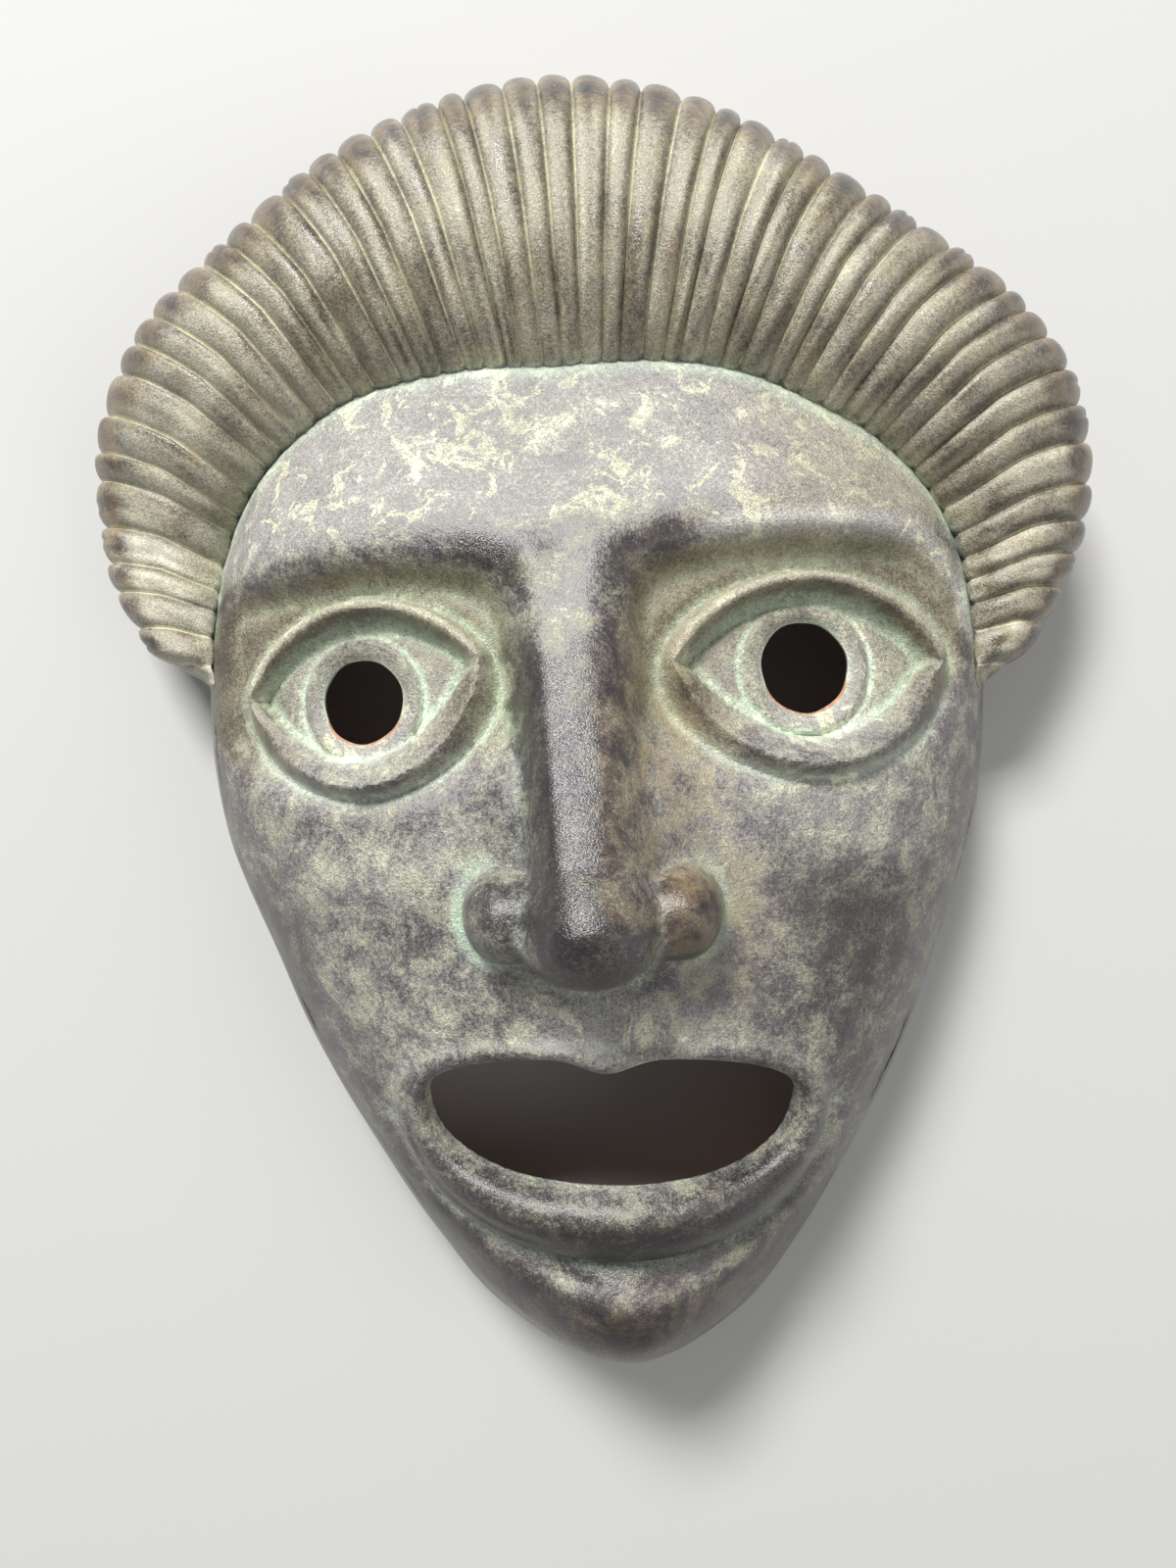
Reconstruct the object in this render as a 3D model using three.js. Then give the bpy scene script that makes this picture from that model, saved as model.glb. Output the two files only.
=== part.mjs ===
import * as THREE from 'three';

const { clamp, lerp, smoothstep, degToRad } = THREE.MathUtils;

// Driving dimensions in millimetres and degrees. Places are in the carving frame: x to the right,
// y up the face and z out of it, from the plane of the rim. Features of the face are placed in the
// face's own axes, which lean a little: u across from the nose, v up.

// Shell
const WALL = 5;
const FACE_DEPTH = 63;
const FACE_ROUNDNESS = 2.6;
const MIDDLE_X = 0.5;
const MIDDLE_Y = 11;
const FACE_LEAN = 4.35;
const LEAN_X = -1;

// Rim of the face: share of the half width at each height, about a centre line that drifts
// towards the chin
const RIM_TOP = 106;
const RIM_CHIN = -125.4;
const RIM_DRIFT = 0.05;
const RIM_MIDDLE_X = 2;
const FACE_HALF_WIDTH = 85;
const RIM_WIDTH_SHARES = [
  [104, 0.353], [89, 0.682], [65, 0.894], [38, 0.988], [12, 1], [-12, 0.96], [-35, 0.861],
  [-57, 0.757], [-78, 0.623], [-99, 0.466], [-115, 0.3],
];
const JAW_EDGE_SHARE = 0.93;

// Hair: a thick roll combed back in ribs, from temple to temple. The hairline lies this far inside
// the face's half width at each angle.
const HAIR_END_ANGLE = 84;
const HAIR_BLEND_ANGLE = 5;
const HAIRLINE_INSETS = [
  [-84, 7.5], [-73, 3], [-65, -1], [-55, -0.5], [-45, 3], [-36, 6], [-27, 10.7], [-18, 14.5],
  [-8, 17.2], [2, 16.7], [14, 14.2], [26, 11.4], [35, 9.7], [45, 5.7], [56, 2.5], [64, 2.4],
  [73, 4.2], [84, 7],
];
const HAIR_REACH = 129.2;
const HAIR_OUTLINE_SHARES = [
  [-84, 0.646], [-80, 0.72], [-75, 0.786], [-70, 0.848], [-64, 0.906], [-56, 0.947], [-47, 0.954],
  [-35, 0.948], [-20, 0.978], [-5, 1], [5, 0.991], [14, 0.962], [22, 0.935], [32, 0.925],
  [43, 0.944], [52, 0.942], [60, 0.906], [67, 0.851], [75, 0.762], [80, 0.7], [84, 0.642],
];
const HAIR_RISE = 13;
const HAIR_SIDE_HEIGHT = 27;
const HAIR_TUCK = 5;
const HAIR_CREST_SHARE = 0.45;
const HAIR_FRONT_ANGLE = 65;
const WIDEST_STATION = 90;
const RIM_STATION = 180;
const LOCKS = 51;
const LOCK_RELIEF = 2.2;
const LOCK_FILL = 0.85;
const LOCK_BOW = 2;
const LOCK_NARROWING = 0.25;

// Brows and sockets
const BROW_RISE = 1.6;
const SOCKET_DEPTH = 6.6;
const SOCKET = [
  [8.3, 6], [8, 20], [8.6, 31], [13, 39], [25, 43], [39, 44.4], [56, 44.2], [69, 42],
  [77, 33], [78, 18], [66, 4], [50, -5], [34, -7], [18, -4],
];

// Eyes: lids, almond and pierced pupil, as distances from the nose line
const LID_RISE = 6;
const EYEBALL_RISE = 4.4;
const IRIS_STEP = 1;
const PUPIL_FLARE = 1;
const EYES = [
  {
    side: -1, x: 39.2, y: 19.6, half: 25.6, up: 18.1, down: 19.6,
    innerX: 18.8, innerY: 22.7, outerX: 59.9, outerY: 20.2, top: 30.1, bottom: 7.3,
    pupilX: 39.4, pupilY: 18.2, pupilRadius: 7.8, irisRadius: 11.8,
  },
  {
    side: 1, x: 44, y: 18.6, half: 29, up: 18, down: 21,
    innerX: 20.2, innerY: 19.9, outerX: 66.4, outerY: 17.9, top: 29.3, bottom: 5.2,
    pupilX: 42.4, pupilY: 18.3, pupilRadius: 8.4, irisRadius: 12.5,
  },
];

// Nose
const NOSE_ROOT = 36;
const NOSE_TIP = -35;
const NOSE_TIP_RISE = 27;
const NOSE_ROOT_RISE = 3;
const NOSE_ROOT_HALF = 7.8;
const NOSE_TIP_HALF = 9.6;
const NOSE_FULL_RISE_SHARE = 0.87;
const NOSE_TIP_X = -0.6;
const NOSE_TIP_RADIUS = 13.2;
const NOSE_TIP_BELOW = 10;
const NOSE_TIP_ABOVE = 15;
const WING_X = 15.6;
const WING_Y = -21.6;
const WING_HALF_WIDTH = 7.2;
const WING_HALF_HEIGHT = 8.8;
const WING_RISE = 16.5;
const WING_DROP = 1.5;
const WING_STRETCH = 1.9;

// Mouth, lips and chin. The opening and the lips are squared ellipses of these powers.
const MOUTH_UPPER_POWER = 2.4;
const MOUTH_LOWER_POWER = 2.5;
const MOUTH_X = 4.5;
const MOUTH_Y = -58.5;
const MOUTH_HALF = 34.6;
const MOUTH_UP = 9.8;
const MOUTH_DOWN = 17;
const MOUTH_NOTCH = 2.7;
const MOUTH_FLARE = 2.4;
const LIP_SIDE = 7.6;
const UPPER_LIP = 4;
const LOWER_LIP = 14;
const LIP_ROLL = 5.4;
const MUZZLE_RISE = 3.5;
const CHIN_X = 7.6;
const CHIN_Y = -108;
const CHIN_RISE = 12;

// Fineness of the faceted surface
const STATIONS = [-33, 0, 30, 58, 84, 128];
const FACE_POINTS = 2050;
const INSIDE_POINTS = 520;
const PUPIL_SIDES = 24;
const MOUTH_SIDES = 44;
const JAW_COLUMNS = 56;
const INSIDE_COLUMNS = 84;
const COARSE_GRID = 11;

// Outlines

function smoothLoop(corners, samples) {
  const points = corners.map(([x, y]) => new THREE.Vector3(x, y, 0));
  return new THREE.CatmullRomCurve3(points, true, 'centripetal').getPoints(samples).slice(0, samples);
}

function rimMiddle(y) {
  return RIM_MIDDLE_X - RIM_DRIFT * Math.min(y, 0);
}

function rimLoop() {
  const right = RIM_WIDTH_SHARES.map(([y, share]) => [rimMiddle(y) + share * FACE_HALF_WIDTH, y]);
  const left = RIM_WIDTH_SHARES.map(([y, share]) => [rimMiddle(y) - share * FACE_HALF_WIDTH, y]).reverse();
  const top = [[rimMiddle(RIM_TOP), RIM_TOP]];
  const chin = [[rimMiddle(RIM_CHIN), RIM_CHIN]];
  return smoothLoop([...top, ...right, ...chin, ...left], 240);
}

function superellipseHeight(share, power) {
  return (1 - Math.min(Math.abs(share), 1) ** power) ** (1 / power);
}

function mouthPoint(angle, side, up, down, notch) {
  const x = Math.cos(angle) * (MOUTH_HALF + side);
  const share = x / (MOUTH_HALF + side);
  const dip = notch * Math.exp(-(((x + 1.2) / 6) ** 2));
  const above = superellipseHeight(share, MOUTH_UPPER_POWER) * (MOUTH_UP + up) - dip;
  const below = -superellipseHeight(share, MOUTH_LOWER_POWER) * (MOUTH_DOWN + down);
  return new THREE.Vector3(MOUTH_X + x, MOUTH_Y + (Math.sin(angle) > 0 ? above : below), 0);
}

function mouthLoop(samples, side = 0, up = 0, down = 0, notch = MOUTH_NOTCH) {
  const even = [];
  for (let i = 0; i < 360; i++) {
    even.push(mouthPoint(degToRad(i + 0.5), side, up, down, notch));
  }
  return new THREE.CatmullRomCurve3(even, true).getSpacedPoints(samples).slice(0, samples);
}

function insetLoop(loop, distance) {
  const count = loop.length;
  const inward = Math.sign(THREE.ShapeUtils.area(loop)) * distance;
  return loop.map((point, i) => {
    const before = loop[(i + count - 1) % count];
    const after = loop[(i + 1) % count];
    const along = new THREE.Vector3().subVectors(after, before).normalize();
    return new THREE.Vector3(point.x - along.y * inward, point.y + along.x * inward, 0);
  });
}

// Angle from straight up, clockwise as seen from the front, in degrees
function angleOf(x, y) {
  return THREE.MathUtils.radToDeg(Math.atan2(x - MIDDLE_X, y - MIDDLE_Y));
}

function radiusTable(loop) {
  const pairs = loop.map((p) => [angleOf(p.x, p.y), Math.hypot(p.x - MIDDLE_X, p.y - MIDDLE_Y)]);
  pairs.sort((a, b) => a[0] - b[0]);
  const first = pairs[0];
  const last = pairs[pairs.length - 1];
  const table = [[last[0] - 360, last[1]], ...pairs, [first[0] + 360, first[1]]];
  return (angle) => lookUp(table, angle);
}

function lookUp(table, value) {
  let low = 0;
  let high = table.length - 1;
  while (high - low > 1) {
    const middle = (low + high) >> 1;
    if (table[middle][0] <= value) {
      low = middle;
    } else {
      high = middle;
    }
  }
  const share = clamp((value - table[low][0]) / (table[high][0] - table[low][0]), 0, 1);
  return lerp(table[low][1], table[high][1], share);
}

function smoothTable(pairs) {
  const curve = new THREE.SplineCurve(pairs.map(([a, r]) => new THREE.Vector2(a, r)));
  const fine = curve.getPoints(pairs.length * 12).map((p) => [p.x, p.y]);
  return (angle) => lookUp(fine, angle);
}

const rim = rimLoop();
const rimRadius = radiusTable(rim);
const hairline = HAIRLINE_INSETS.map(([angle, inset]) => [angle, FACE_HALF_WIDTH - inset]);
const hairlineRadius = smoothTable(hairline);
const hairRadius = smoothTable(HAIR_OUTLINE_SHARES.map(([angle, share]) => [angle, share * HAIR_REACH]));
const socket = smoothLoop(SOCKET, 96);
const mouth = mouthLoop(96);
const lips = mouthLoop(96, LIP_SIDE, UPPER_LIP, LOWER_LIP, MOUTH_NOTCH * 0.5);

function pointAt(angle, radius) {
  const turn = degToRad(angle);
  return [MIDDLE_X + Math.sin(turn) * radius, MIDDLE_Y + Math.cos(turn) * radius];
}

// Where the face ends: the hairline above, a line close inside the rim along the jaw
function edgeRadius(angle) {
  const jaw = rimRadius(angle) * JAW_EDGE_SHARE;
  const blend = smoothstep(Math.abs(angle), HAIR_END_ANGLE - 4, HAIR_END_ANGLE + 4);
  return lerp(hairlineRadius(clamp(angle, -HAIR_END_ANGLE, HAIR_END_ANGLE)), jaw, blend);
}

function loopDistance(loop, x, y) {
  let nearest = Infinity;
  let inside = false;
  for (let i = 0, j = loop.length - 1; i < loop.length; j = i++) {
    const ex = loop[i].x - loop[j].x;
    const ey = loop[i].y - loop[j].y;
    const wx = x - loop[j].x;
    const wy = y - loop[j].y;
    const along = clamp((wx * ex + wy * ey) / (ex * ex + ey * ey), 0, 1);
    nearest = Math.min(nearest, (wx - ex * along) ** 2 + (wy - ey * along) ** 2);
    if ((loop[i].y > y) !== (loop[j].y > y) && x < loop[j].x + (ex * (y - loop[j].y)) / ey) {
      inside = !inside;
    }
  }
  return Math.sqrt(nearest) * (inside ? 1 : -1);
}

// Relief of the face

function bump(distance, width) {
  return Math.exp(-((distance / width) ** 2));
}

// Union of two swellings: rounded where both stand up, crisp where either of them ends
function merge(a, b, blend) {
  const width = clamp(Math.min(a, b), 0.01, blend);
  const share = clamp(0.5 + (0.5 * (a - b)) / width, 0, 1);
  return lerp(b, a, share) + width * share * (1 - share);
}

function domeHeight(share) {
  return FACE_DEPTH * Math.sqrt(Math.max(1 - share ** FACE_ROUNDNESS, 0));
}

function faceAxes(x, y) {
  const lean = degToRad(FACE_LEAN);
  const across = x - LEAN_X;
  return [across * Math.cos(lean) + y * Math.sin(lean), y * Math.cos(lean) - across * Math.sin(lean)];
}

function fromFaceAxes(u, v) {
  const lean = degToRad(FACE_LEAN);
  return [LEAN_X + u * Math.cos(lean) - v * Math.sin(lean), v * Math.cos(lean) + u * Math.sin(lean)];
}

function socketRelief(u, v) {
  const across = Math.abs(u);
  if (v < -26 || v > 66) {
    return 0;
  }
  const within = loopDistance(socket, across, v);
  const brow = BROW_RISE * bump(within + 5, 5) * smoothstep(v, 26, 40);
  const cheek = smoothstep(-v, -18, 6);
  const crisp = smoothstep(within, -0.8, 6.5);
  const soft = smoothstep(within, -1, 13) * (1 - smoothstep(-v, -16, 4));
  const temple = 1 - 0.6 * smoothstep(across, 56, 78);
  return brow - SOCKET_DEPTH * lerp(crisp, soft, cheek) * temple;
}

function noseRelief(u, v) {
  const side = Math.abs(u);
  const along = (NOSE_ROOT - v) / (NOSE_ROOT - NOSE_TIP);
  const inside = clamp(along, 0, 1);
  const half = lerp(NOSE_ROOT_HALF, NOSE_TIP_HALF, inside ** 1.5);
  const rise = lerp(NOSE_ROOT_RISE, NOSE_TIP_RISE, Math.min(inside / NOSE_FULL_RISE_SHARE, 1) ** 1.1);
  const slope = u > 0 ? 1 / (1 + (side / half / 1.26) ** 4.2) : 1 / (1 + (side / half / 1.12) ** 6.5);
  const section = slope - 0.07 * Math.min(side / half, 1) ** 2;
  const run = smoothstep(along, -0.3, 0.1) * (1 - smoothstep(-v, -NOSE_TIP - 12, -NOSE_TIP - 1));
  const back = rise * section * run;
  const tipUp = v - NOSE_TIP - NOSE_TIP_BELOW;
  const tipShare = Math.hypot(
    (u - NOSE_TIP_X) / NOSE_TIP_RADIUS,
    tipUp / (tipUp > 0 ? NOSE_TIP_ABOVE : NOSE_TIP_BELOW),
  );
  const tip = (NOSE_TIP_RISE + 0.3) * Math.sqrt(Math.max(1 - tipShare ** 2.5, 0));
  const wingWidth = side < WING_X ? WING_HALF_WIDTH * WING_STRETCH : WING_HALF_WIDTH;
  const wingY = u > 0 ? WING_Y - WING_DROP : WING_Y;
  const wingShare = Math.hypot((side - WING_X) / wingWidth, (v - wingY) / WING_HALF_HEIGHT);
  const wing = WING_RISE * Math.sqrt(Math.max(1 - wingShare ** 2.3, 0));
  const flank = 5 * bump(side - 12, 7) * smoothstep(-v, -24, 6) * smoothstep(v, -44, -24);
  return merge(merge(back, tip, 5), merge(wing, flank, 3), 3);
}

function lidDistances(eye, across, v) {
  const share = (across - eye.innerX) / (eye.outerX - eye.innerX);
  const arch = 1 - (2 * clamp(share, -0.3, 1.3) - 1) ** 2;
  const line = lerp(eye.innerY, eye.outerY, share);
  const middle = 0.5 * (eye.innerY + eye.outerY);
  return [line + (eye.top - middle) * arch - v, v - line + (middle - eye.bottom) * arch];
}

function eyeRelief(eye, u, v) {
  const across = u * eye.side;
  const height = (v - eye.y) / (v > eye.y ? eye.up : eye.down);
  const share = (Math.abs((across - eye.x) / eye.half) ** 1.85 + Math.abs(height) ** 1.85) ** (1 / 1.85);
  if (share > 1.3 || across < 0) {
    return 0;
  }
  const within = (1 - share) * eye.up;
  const [under, over] = lidDistances(eye, across, v);
  const opening = Math.min(under, over);
  const step = clamp(within / Math.max(within - opening, 1), 0, 1);
  const fall = clamp((step - 0.4) / 0.6, 0, 1);
  const upperLid = Math.sin(0.5 * Math.PI * clamp(step / 0.24, 0, 1)) - 0.92 * (1 - (1 - fall) ** 2.2);
  const slope = clamp((step - 0.34) / 0.66, 0, 1);
  const lowerLid = 0.92 * clamp(step / 0.32, 0, 1) ** 0.9 - 0.5 * slope;
  const lids = lerp(upperLid, lowerLid, smoothstep(under - over, -3.5, 3.5));
  const lid = LID_RISE * lids * smoothstep(within, -0.4, 0.4);
  const ballShare = Math.hypot(
    (across - 0.5 * (eye.innerX + eye.outerX)) / (0.62 * (eye.outerX - eye.innerX)),
    (v - 0.5 * (eye.top + eye.bottom)) / (0.85 * (eye.top - eye.bottom)),
  );
  const ball = EYEBALL_RISE * Math.sqrt(Math.max(1 - ballShare ** 2, 0)) - 2.2;
  const fromPupil = Math.hypot(across - eye.pupilX, v - eye.pupilY);
  const iris = IRIS_STEP * (1 - smoothstep(fromPupil, eye.irisRadius - 0.8, eye.irisRadius));
  const dishShare = clamp((fromPupil - eye.pupilRadius) / (eye.irisRadius - eye.pupilRadius), 0, 1);
  const dish = 1.6 * (1 - dishShare) ** 1.5;
  const edge = Math.exp(-Math.max(fromPupil - eye.pupilRadius, 0) / 0.5);
  const crease = 0.9 * bump(within + 0.3, 0.9);
  return lerp(lid, ball + iris - dish - edge, smoothstep(opening, -0.35, 0.4)) - crease;
}

function mouthRelief(x, y) {
  if (Math.abs(x - MOUTH_X) > MOUTH_HALF + 24 || Math.abs(y - MOUTH_Y) > MOUTH_HALF + 18) {
    return 0;
  }
  const outside = -loopDistance(mouth, x, y);
  const withinLips = loopDistance(lips, x, y);
  const lower = smoothstep(-y, -MOUTH_Y - 7, -MOUTH_Y + 6);
  const share = clamp(outside / Math.max(outside + withinLips, 1), 0, 1);
  const roll = Math.sqrt(Math.max(1 - Math.abs(2 * share - 1) ** 2.2, 0)) * (withinLips > 0 ? 1 : 0);
  const swell = 0.5 * (1 - smoothstep(share, 0.15, 1));
  const crease = 2.4 * lower * (withinLips < 0 ? bump(withinLips, 4.5) : 1);
  const turnIn = 3.4 * Math.exp(-Math.max(outside, 0) / 2.6);
  return LIP_ROLL * lerp(swell, roll, lower) - crease - turnIn;
}

function faceHeight(x, y) {
  const share = Math.hypot(x - MIDDLE_X, y - MIDDLE_Y) / rimRadius(angleOf(x, y));
  const [u, v] = faceAxes(x, y);
  const carved = 1 - smoothstep(share, 0.82, 0.95);
  const muzzle = MUZZLE_RISE * bump(x - MOUTH_X, 36) * bump(y - MOUTH_Y, 26);
  const chin = CHIN_RISE * bump(x - CHIN_X, 20) * bump(y - CHIN_Y, 15);
  const philtrum = 1.2 * bump(u, 3.2) * smoothstep(-v, 38, 42) * smoothstep(v, -52, -47);
  const eyes = EYES.reduce((sum, eye) => sum + eyeRelief(eye, u, v), 0);
  const relief = socketRelief(u, v) + noseRelief(u, v) + eyes + mouthRelief(x, y) + muzzle - philtrum;
  return domeHeight(share) + relief * carved + chin * (1 - smoothstep(share, 0.9, 0.99));
}

// The roll of hair and the side wall below it. A column is one line from the edge of the face,
// over the roll, down to the rim. Its station is an angle round the roll: from the front one
// through 0 at the crest to the widest one, and on to the rim one down the outside.

function lockEdges() {
  const narrowing = (share) => share - LOCK_NARROWING * 0.333 * share ** 3;
  const edges = [];
  for (let i = 0; i <= LOCKS; i++) {
    const want = (2 * i) / LOCKS - 1;
    let low = -1;
    let high = 1;
    for (let k = 0; k < 40; k++) {
      const middle = 0.5 * (low + high);
      if (narrowing(middle) < want * narrowing(1)) {
        low = middle;
      } else {
        high = middle;
      }
    }
    edges.push(low * HAIR_END_ANGLE);
  }
  return edges;
}

function lockHeight(phase) {
  return LOCK_RELIEF * (Math.sqrt(1 - LOCK_FILL * (2 * phase) ** 2) - 1);
}

function hairCrest(angle) {
  return HAIR_RISE * (1 - Math.min(Math.abs(angle) / HAIR_END_ANGLE, 1) ** 3);
}

function hairProfile(angle, station) {
  const start = edgeRadius(angle);
  const reach = hairRadius(clamp(angle, -HAIR_END_ANGLE, HAIR_END_ANGLE));
  const [x0, y0] = pointAt(angle, start);
  const foot = faceHeight(x0, y0);
  const crest = foot + hairCrest(angle);
  const crestRadius = lerp(start, reach, HAIR_CREST_SHARE);
  const side = Math.min(HAIR_SIDE_HEIGHT, foot * 0.75);
  const turn = degToRad(station);
  if (station < 0) {
    const front = degToRad(HAIR_FRONT_ANGLE);
    const rise = (Math.cos(turn) - Math.cos(front)) / (1 - Math.cos(front));
    return [lerp(crestRadius, start, Math.sin(-turn) / Math.sin(front)), lerp(foot, crest, rise)];
  }
  if (station <= WIDEST_STATION) {
    return [lerp(crestRadius, reach, Math.sin(turn)), lerp(side, crest, Math.cos(turn))];
  }
  const down = (station - WIDEST_STATION) / (RIM_STATION - WIDEST_STATION);
  return [reach - HAIR_TUCK * down ** 2, side * (1 - down)];
}

function jawProfile(angle, station) {
  const start = edgeRadius(angle);
  const end = rimRadius(angle);
  const [x0, y0] = pointAt(angle, start);
  const level = faceHeight(x0, y0);
  const down = (station + HAIR_FRONT_ANGLE) / (RIM_STATION + HAIR_FRONT_ANGLE);
  const drop = 1 - down;
  const share = (1 - (drop * (1 - (start / end) ** FACE_ROUNDNESS) ** 0.5) ** 2) ** (1 / FACE_ROUNDNESS);
  return [end * share, level * drop];
}

// Radius and height of a column without its lock's relief, and its share of the plain jaw
function plainColumn(angle, station) {
  const jawShare = smoothstep(Math.abs(angle), HAIR_END_ANGLE - HAIR_BLEND_ANGLE, HAIR_END_ANGLE);
  const hair = hairProfile(angle, station);
  const jaw = jawProfile(angle, station);
  return [lerp(hair[0], jaw[0], jawShare), lerp(hair[1], jaw[1], jawShare), jawShare];
}

function columnPoint(angle, station, phase) {
  const [radius, height, jawShare] = plainColumn(angle, station);
  const turn = degToRad(Math.min(station, WIDEST_STATION));
  const fadeIn = smoothstep(station, -HAIR_FRONT_ANGLE - 20, -HAIR_FRONT_ANGLE + 30);
  const fadeOut = 1 - 0.8 * smoothstep(station, WIDEST_STATION + 20, RIM_STATION);
  const relief = lockHeight(phase) * fadeIn * fadeOut * (1 - jawShare);
  const bow = LOCK_BOW * Math.sin(degToRad(2 * angle)) * Math.sin(degToRad(clamp(station, 0, RIM_STATION)));
  const [x, y] = pointAt(angle + bow * (1 - jawShare), radius + relief * Math.sin(turn));
  return [x, y, Math.max(height + relief * Math.cos(turn), 0)];
}

function upperHeight(x, y) {
  const angle = angleOf(x, y);
  const radius = Math.hypot(x - MIDDLE_X, y - MIDDLE_Y);
  if (radius <= edgeRadius(angle)) {
    return faceHeight(x, y);
  }
  if (Math.abs(angle) >= HAIR_END_ANGLE) {
    return domeHeight(radius / rimRadius(angle));
  }
  let low = -HAIR_FRONT_ANGLE;
  let high = WIDEST_STATION;
  for (let k = 0; k < 14; k++) {
    const middle = 0.5 * (low + high);
    if (plainColumn(angle, middle)[0] < radius) {
      low = middle;
    } else {
      high = middle;
    }
  }
  return columnPoint(angle, low, 0.5)[2];
}

// The inside follows the outside, set in by the wall: the underside of a ball rolled along it
function insideHeight(x, y) {
  let lowest = upperHeight(x, y) - WALL;
  for (const [share, count] of [[0.45, 6], [0.8, 8], [0.98, 8]]) {
    const drop = WALL * Math.sqrt(1 - share ** 2);
    for (let i = 0; i < count; i++) {
      const turn = (2 * Math.PI * i) / count;
      const height = upperHeight(x + WALL * share * Math.cos(turn), y + WALL * share * Math.sin(turn));
      lowest = Math.min(lowest, height - drop);
    }
  }
  return Math.max(lowest, 0);
}

// Triangulation of a region between loops, refined where the surface bends most

// Places in a triangle where its distance from the surface is tried
const SAMPLE_SHARES = [
  [1 / 3, 1 / 3, 1 / 3], [0.6, 0.2, 0.2], [0.2, 0.6, 0.2], [0.2, 0.2, 0.6],
  [0.48, 0.48, 0.04], [0.48, 0.04, 0.48], [0.04, 0.48, 0.48],
];

class Sheet {
  constructor(outer, holes, height) {
    this.outer = outer;
    this.holes = holes;
    this.height = height;
    this.points = [];
    this.triangles = [];
    this.guards = [];
    const far = 4000;
    for (const [x, y] of [[-far, -far], [far, -far], [0, far]]) {
      this.points.push({ x, y, z: 0 });
    }
    this.addTriangle(0, 1, 2);
    for (const loop of [outer, ...holes]) {
      loop.forEach((point, i) => {
        const next = loop[(i + 1) % loop.length];
        const radius = 0.5 * Math.hypot(next.x - point.x, next.y - point.y);
        this.guards.push({ x: 0.5 * (point.x + next.x), y: 0.5 * (point.y + next.y), radius: radius * 1.15 });
      });
    }
    this.loops = [outer, ...holes].map((loop) => loop.map((point) => this.insert(point.x, point.y, point.z)));
  }

  addTriangle(a, b, c) {
    const [p, q, r] = [this.points[a], this.points[b], this.points[c]];
    const d = 2 * (p.x * (q.y - r.y) + q.x * (r.y - p.y) + r.x * (p.y - q.y));
    const pp = p.x ** 2 + p.y ** 2;
    const qq = q.x ** 2 + q.y ** 2;
    const rr = r.x ** 2 + r.y ** 2;
    const x = (pp * (q.y - r.y) + qq * (r.y - p.y) + rr * (p.y - q.y)) / d;
    const y = (pp * (r.x - q.x) + qq * (p.x - r.x) + rr * (q.x - p.x)) / d;
    const triangle = { corners: [a, b, c], x, y, reach: (p.x - x) ** 2 + (p.y - y) ** 2, worst: null };
    this.triangles.push(triangle);
    return triangle;
  }

  insert(x, y, z) {
    const index = this.points.length;
    this.points.push({ x, y, z });
    const border = new Map();
    const kept = [];
    for (const triangle of this.triangles) {
      if ((x - triangle.x) ** 2 + (y - triangle.y) ** 2 < triangle.reach) {
        for (let i = 0; i < 3; i++) {
          const from = triangle.corners[i];
          const to = triangle.corners[(i + 1) % 3];
          if (!border.delete(`${to} ${from}`)) {
            border.set(`${from} ${to}`, [from, to]);
          }
        }
      } else {
        kept.push(triangle);
      }
    }
    this.triangles = kept;
    for (const [from, to] of border.values()) {
      this.addTriangle(from, to, index);
    }
    return index;
  }

  holds(x, y) {
    return loopDistance(this.outer, x, y) > 0 && this.holes.every((hole) => loopDistance(hole, x, y) < 0);
  }

  free(x, y) {
    return this.guards.every((guard) => (x - guard.x) ** 2 + (y - guard.y) ** 2 > guard.radius ** 2);
  }

  findWorst(triangle) {
    const [p, q, r] = triangle.corners.map((i) => this.points[i]);
    triangle.worst = { error: -1 };
    const middleX = (p.x + q.x + r.x) / 3;
    const middleY = (p.y + q.y + r.y) / 3;
    if (!this.holds(middleX, middleY)) {
      return;
    }
    const area = 0.5 * Math.abs((q.x - p.x) * (r.y - p.y) - (r.x - p.x) * (q.y - p.y));
    for (const [a, b, c] of SAMPLE_SHARES) {
      const x = a * p.x + b * q.x + c * r.x;
      const y = a * p.y + b * q.y + c * r.y;
      if (this.free(x, y)) {
        const z = this.height(x, y);
        const error = Math.abs(z - (a * p.z + b * q.z + c * r.z)) * area ** 0.25;
        if (error > triangle.worst.error) {
          triangle.worst = { error, x, y, z };
        }
      }
    }
  }

  refine(grid, count) {
    const reach = Math.max(...this.outer.map((point) => Math.hypot(point.x, point.y)));
    const rows = Math.ceil(reach / grid);
    for (let row = -rows; row <= rows; row++) {
      for (let column = -rows; column <= rows; column++) {
        const x = (column + 0.5 * Math.abs(row % 2)) * grid + 0.037 * row;
        const y = row * grid * 0.866 + 0.041 * column;
        if (this.holds(x, y) && this.free(x, y)) {
          this.insert(x, y, this.height(x, y));
        }
      }
    }
    while (this.points.length < count) {
      let worst = { error: 0 };
      for (const triangle of this.triangles) {
        if (!triangle.worst) {
          this.findWorst(triangle);
        }
        if (triangle.worst.error > worst.error) {
          worst = triangle.worst;
        }
      }
      if (worst.error === 0) {
        break;
      }
      this.insert(worst.x, worst.y, worst.z);
    }
    return this;
  }

  facets() {
    return this.triangles
      .map((triangle) => triangle.corners)
      .filter((corners) => Math.min(...corners) > 2)
      .filter((corners) => {
        const [p, q, r] = corners.map((i) => this.points[i]);
        return this.holds((p.x + q.x + r.x) / 3, (p.y + q.y + r.y) / 3);
      });
  }
}

// Assembly of the closed shell

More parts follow.
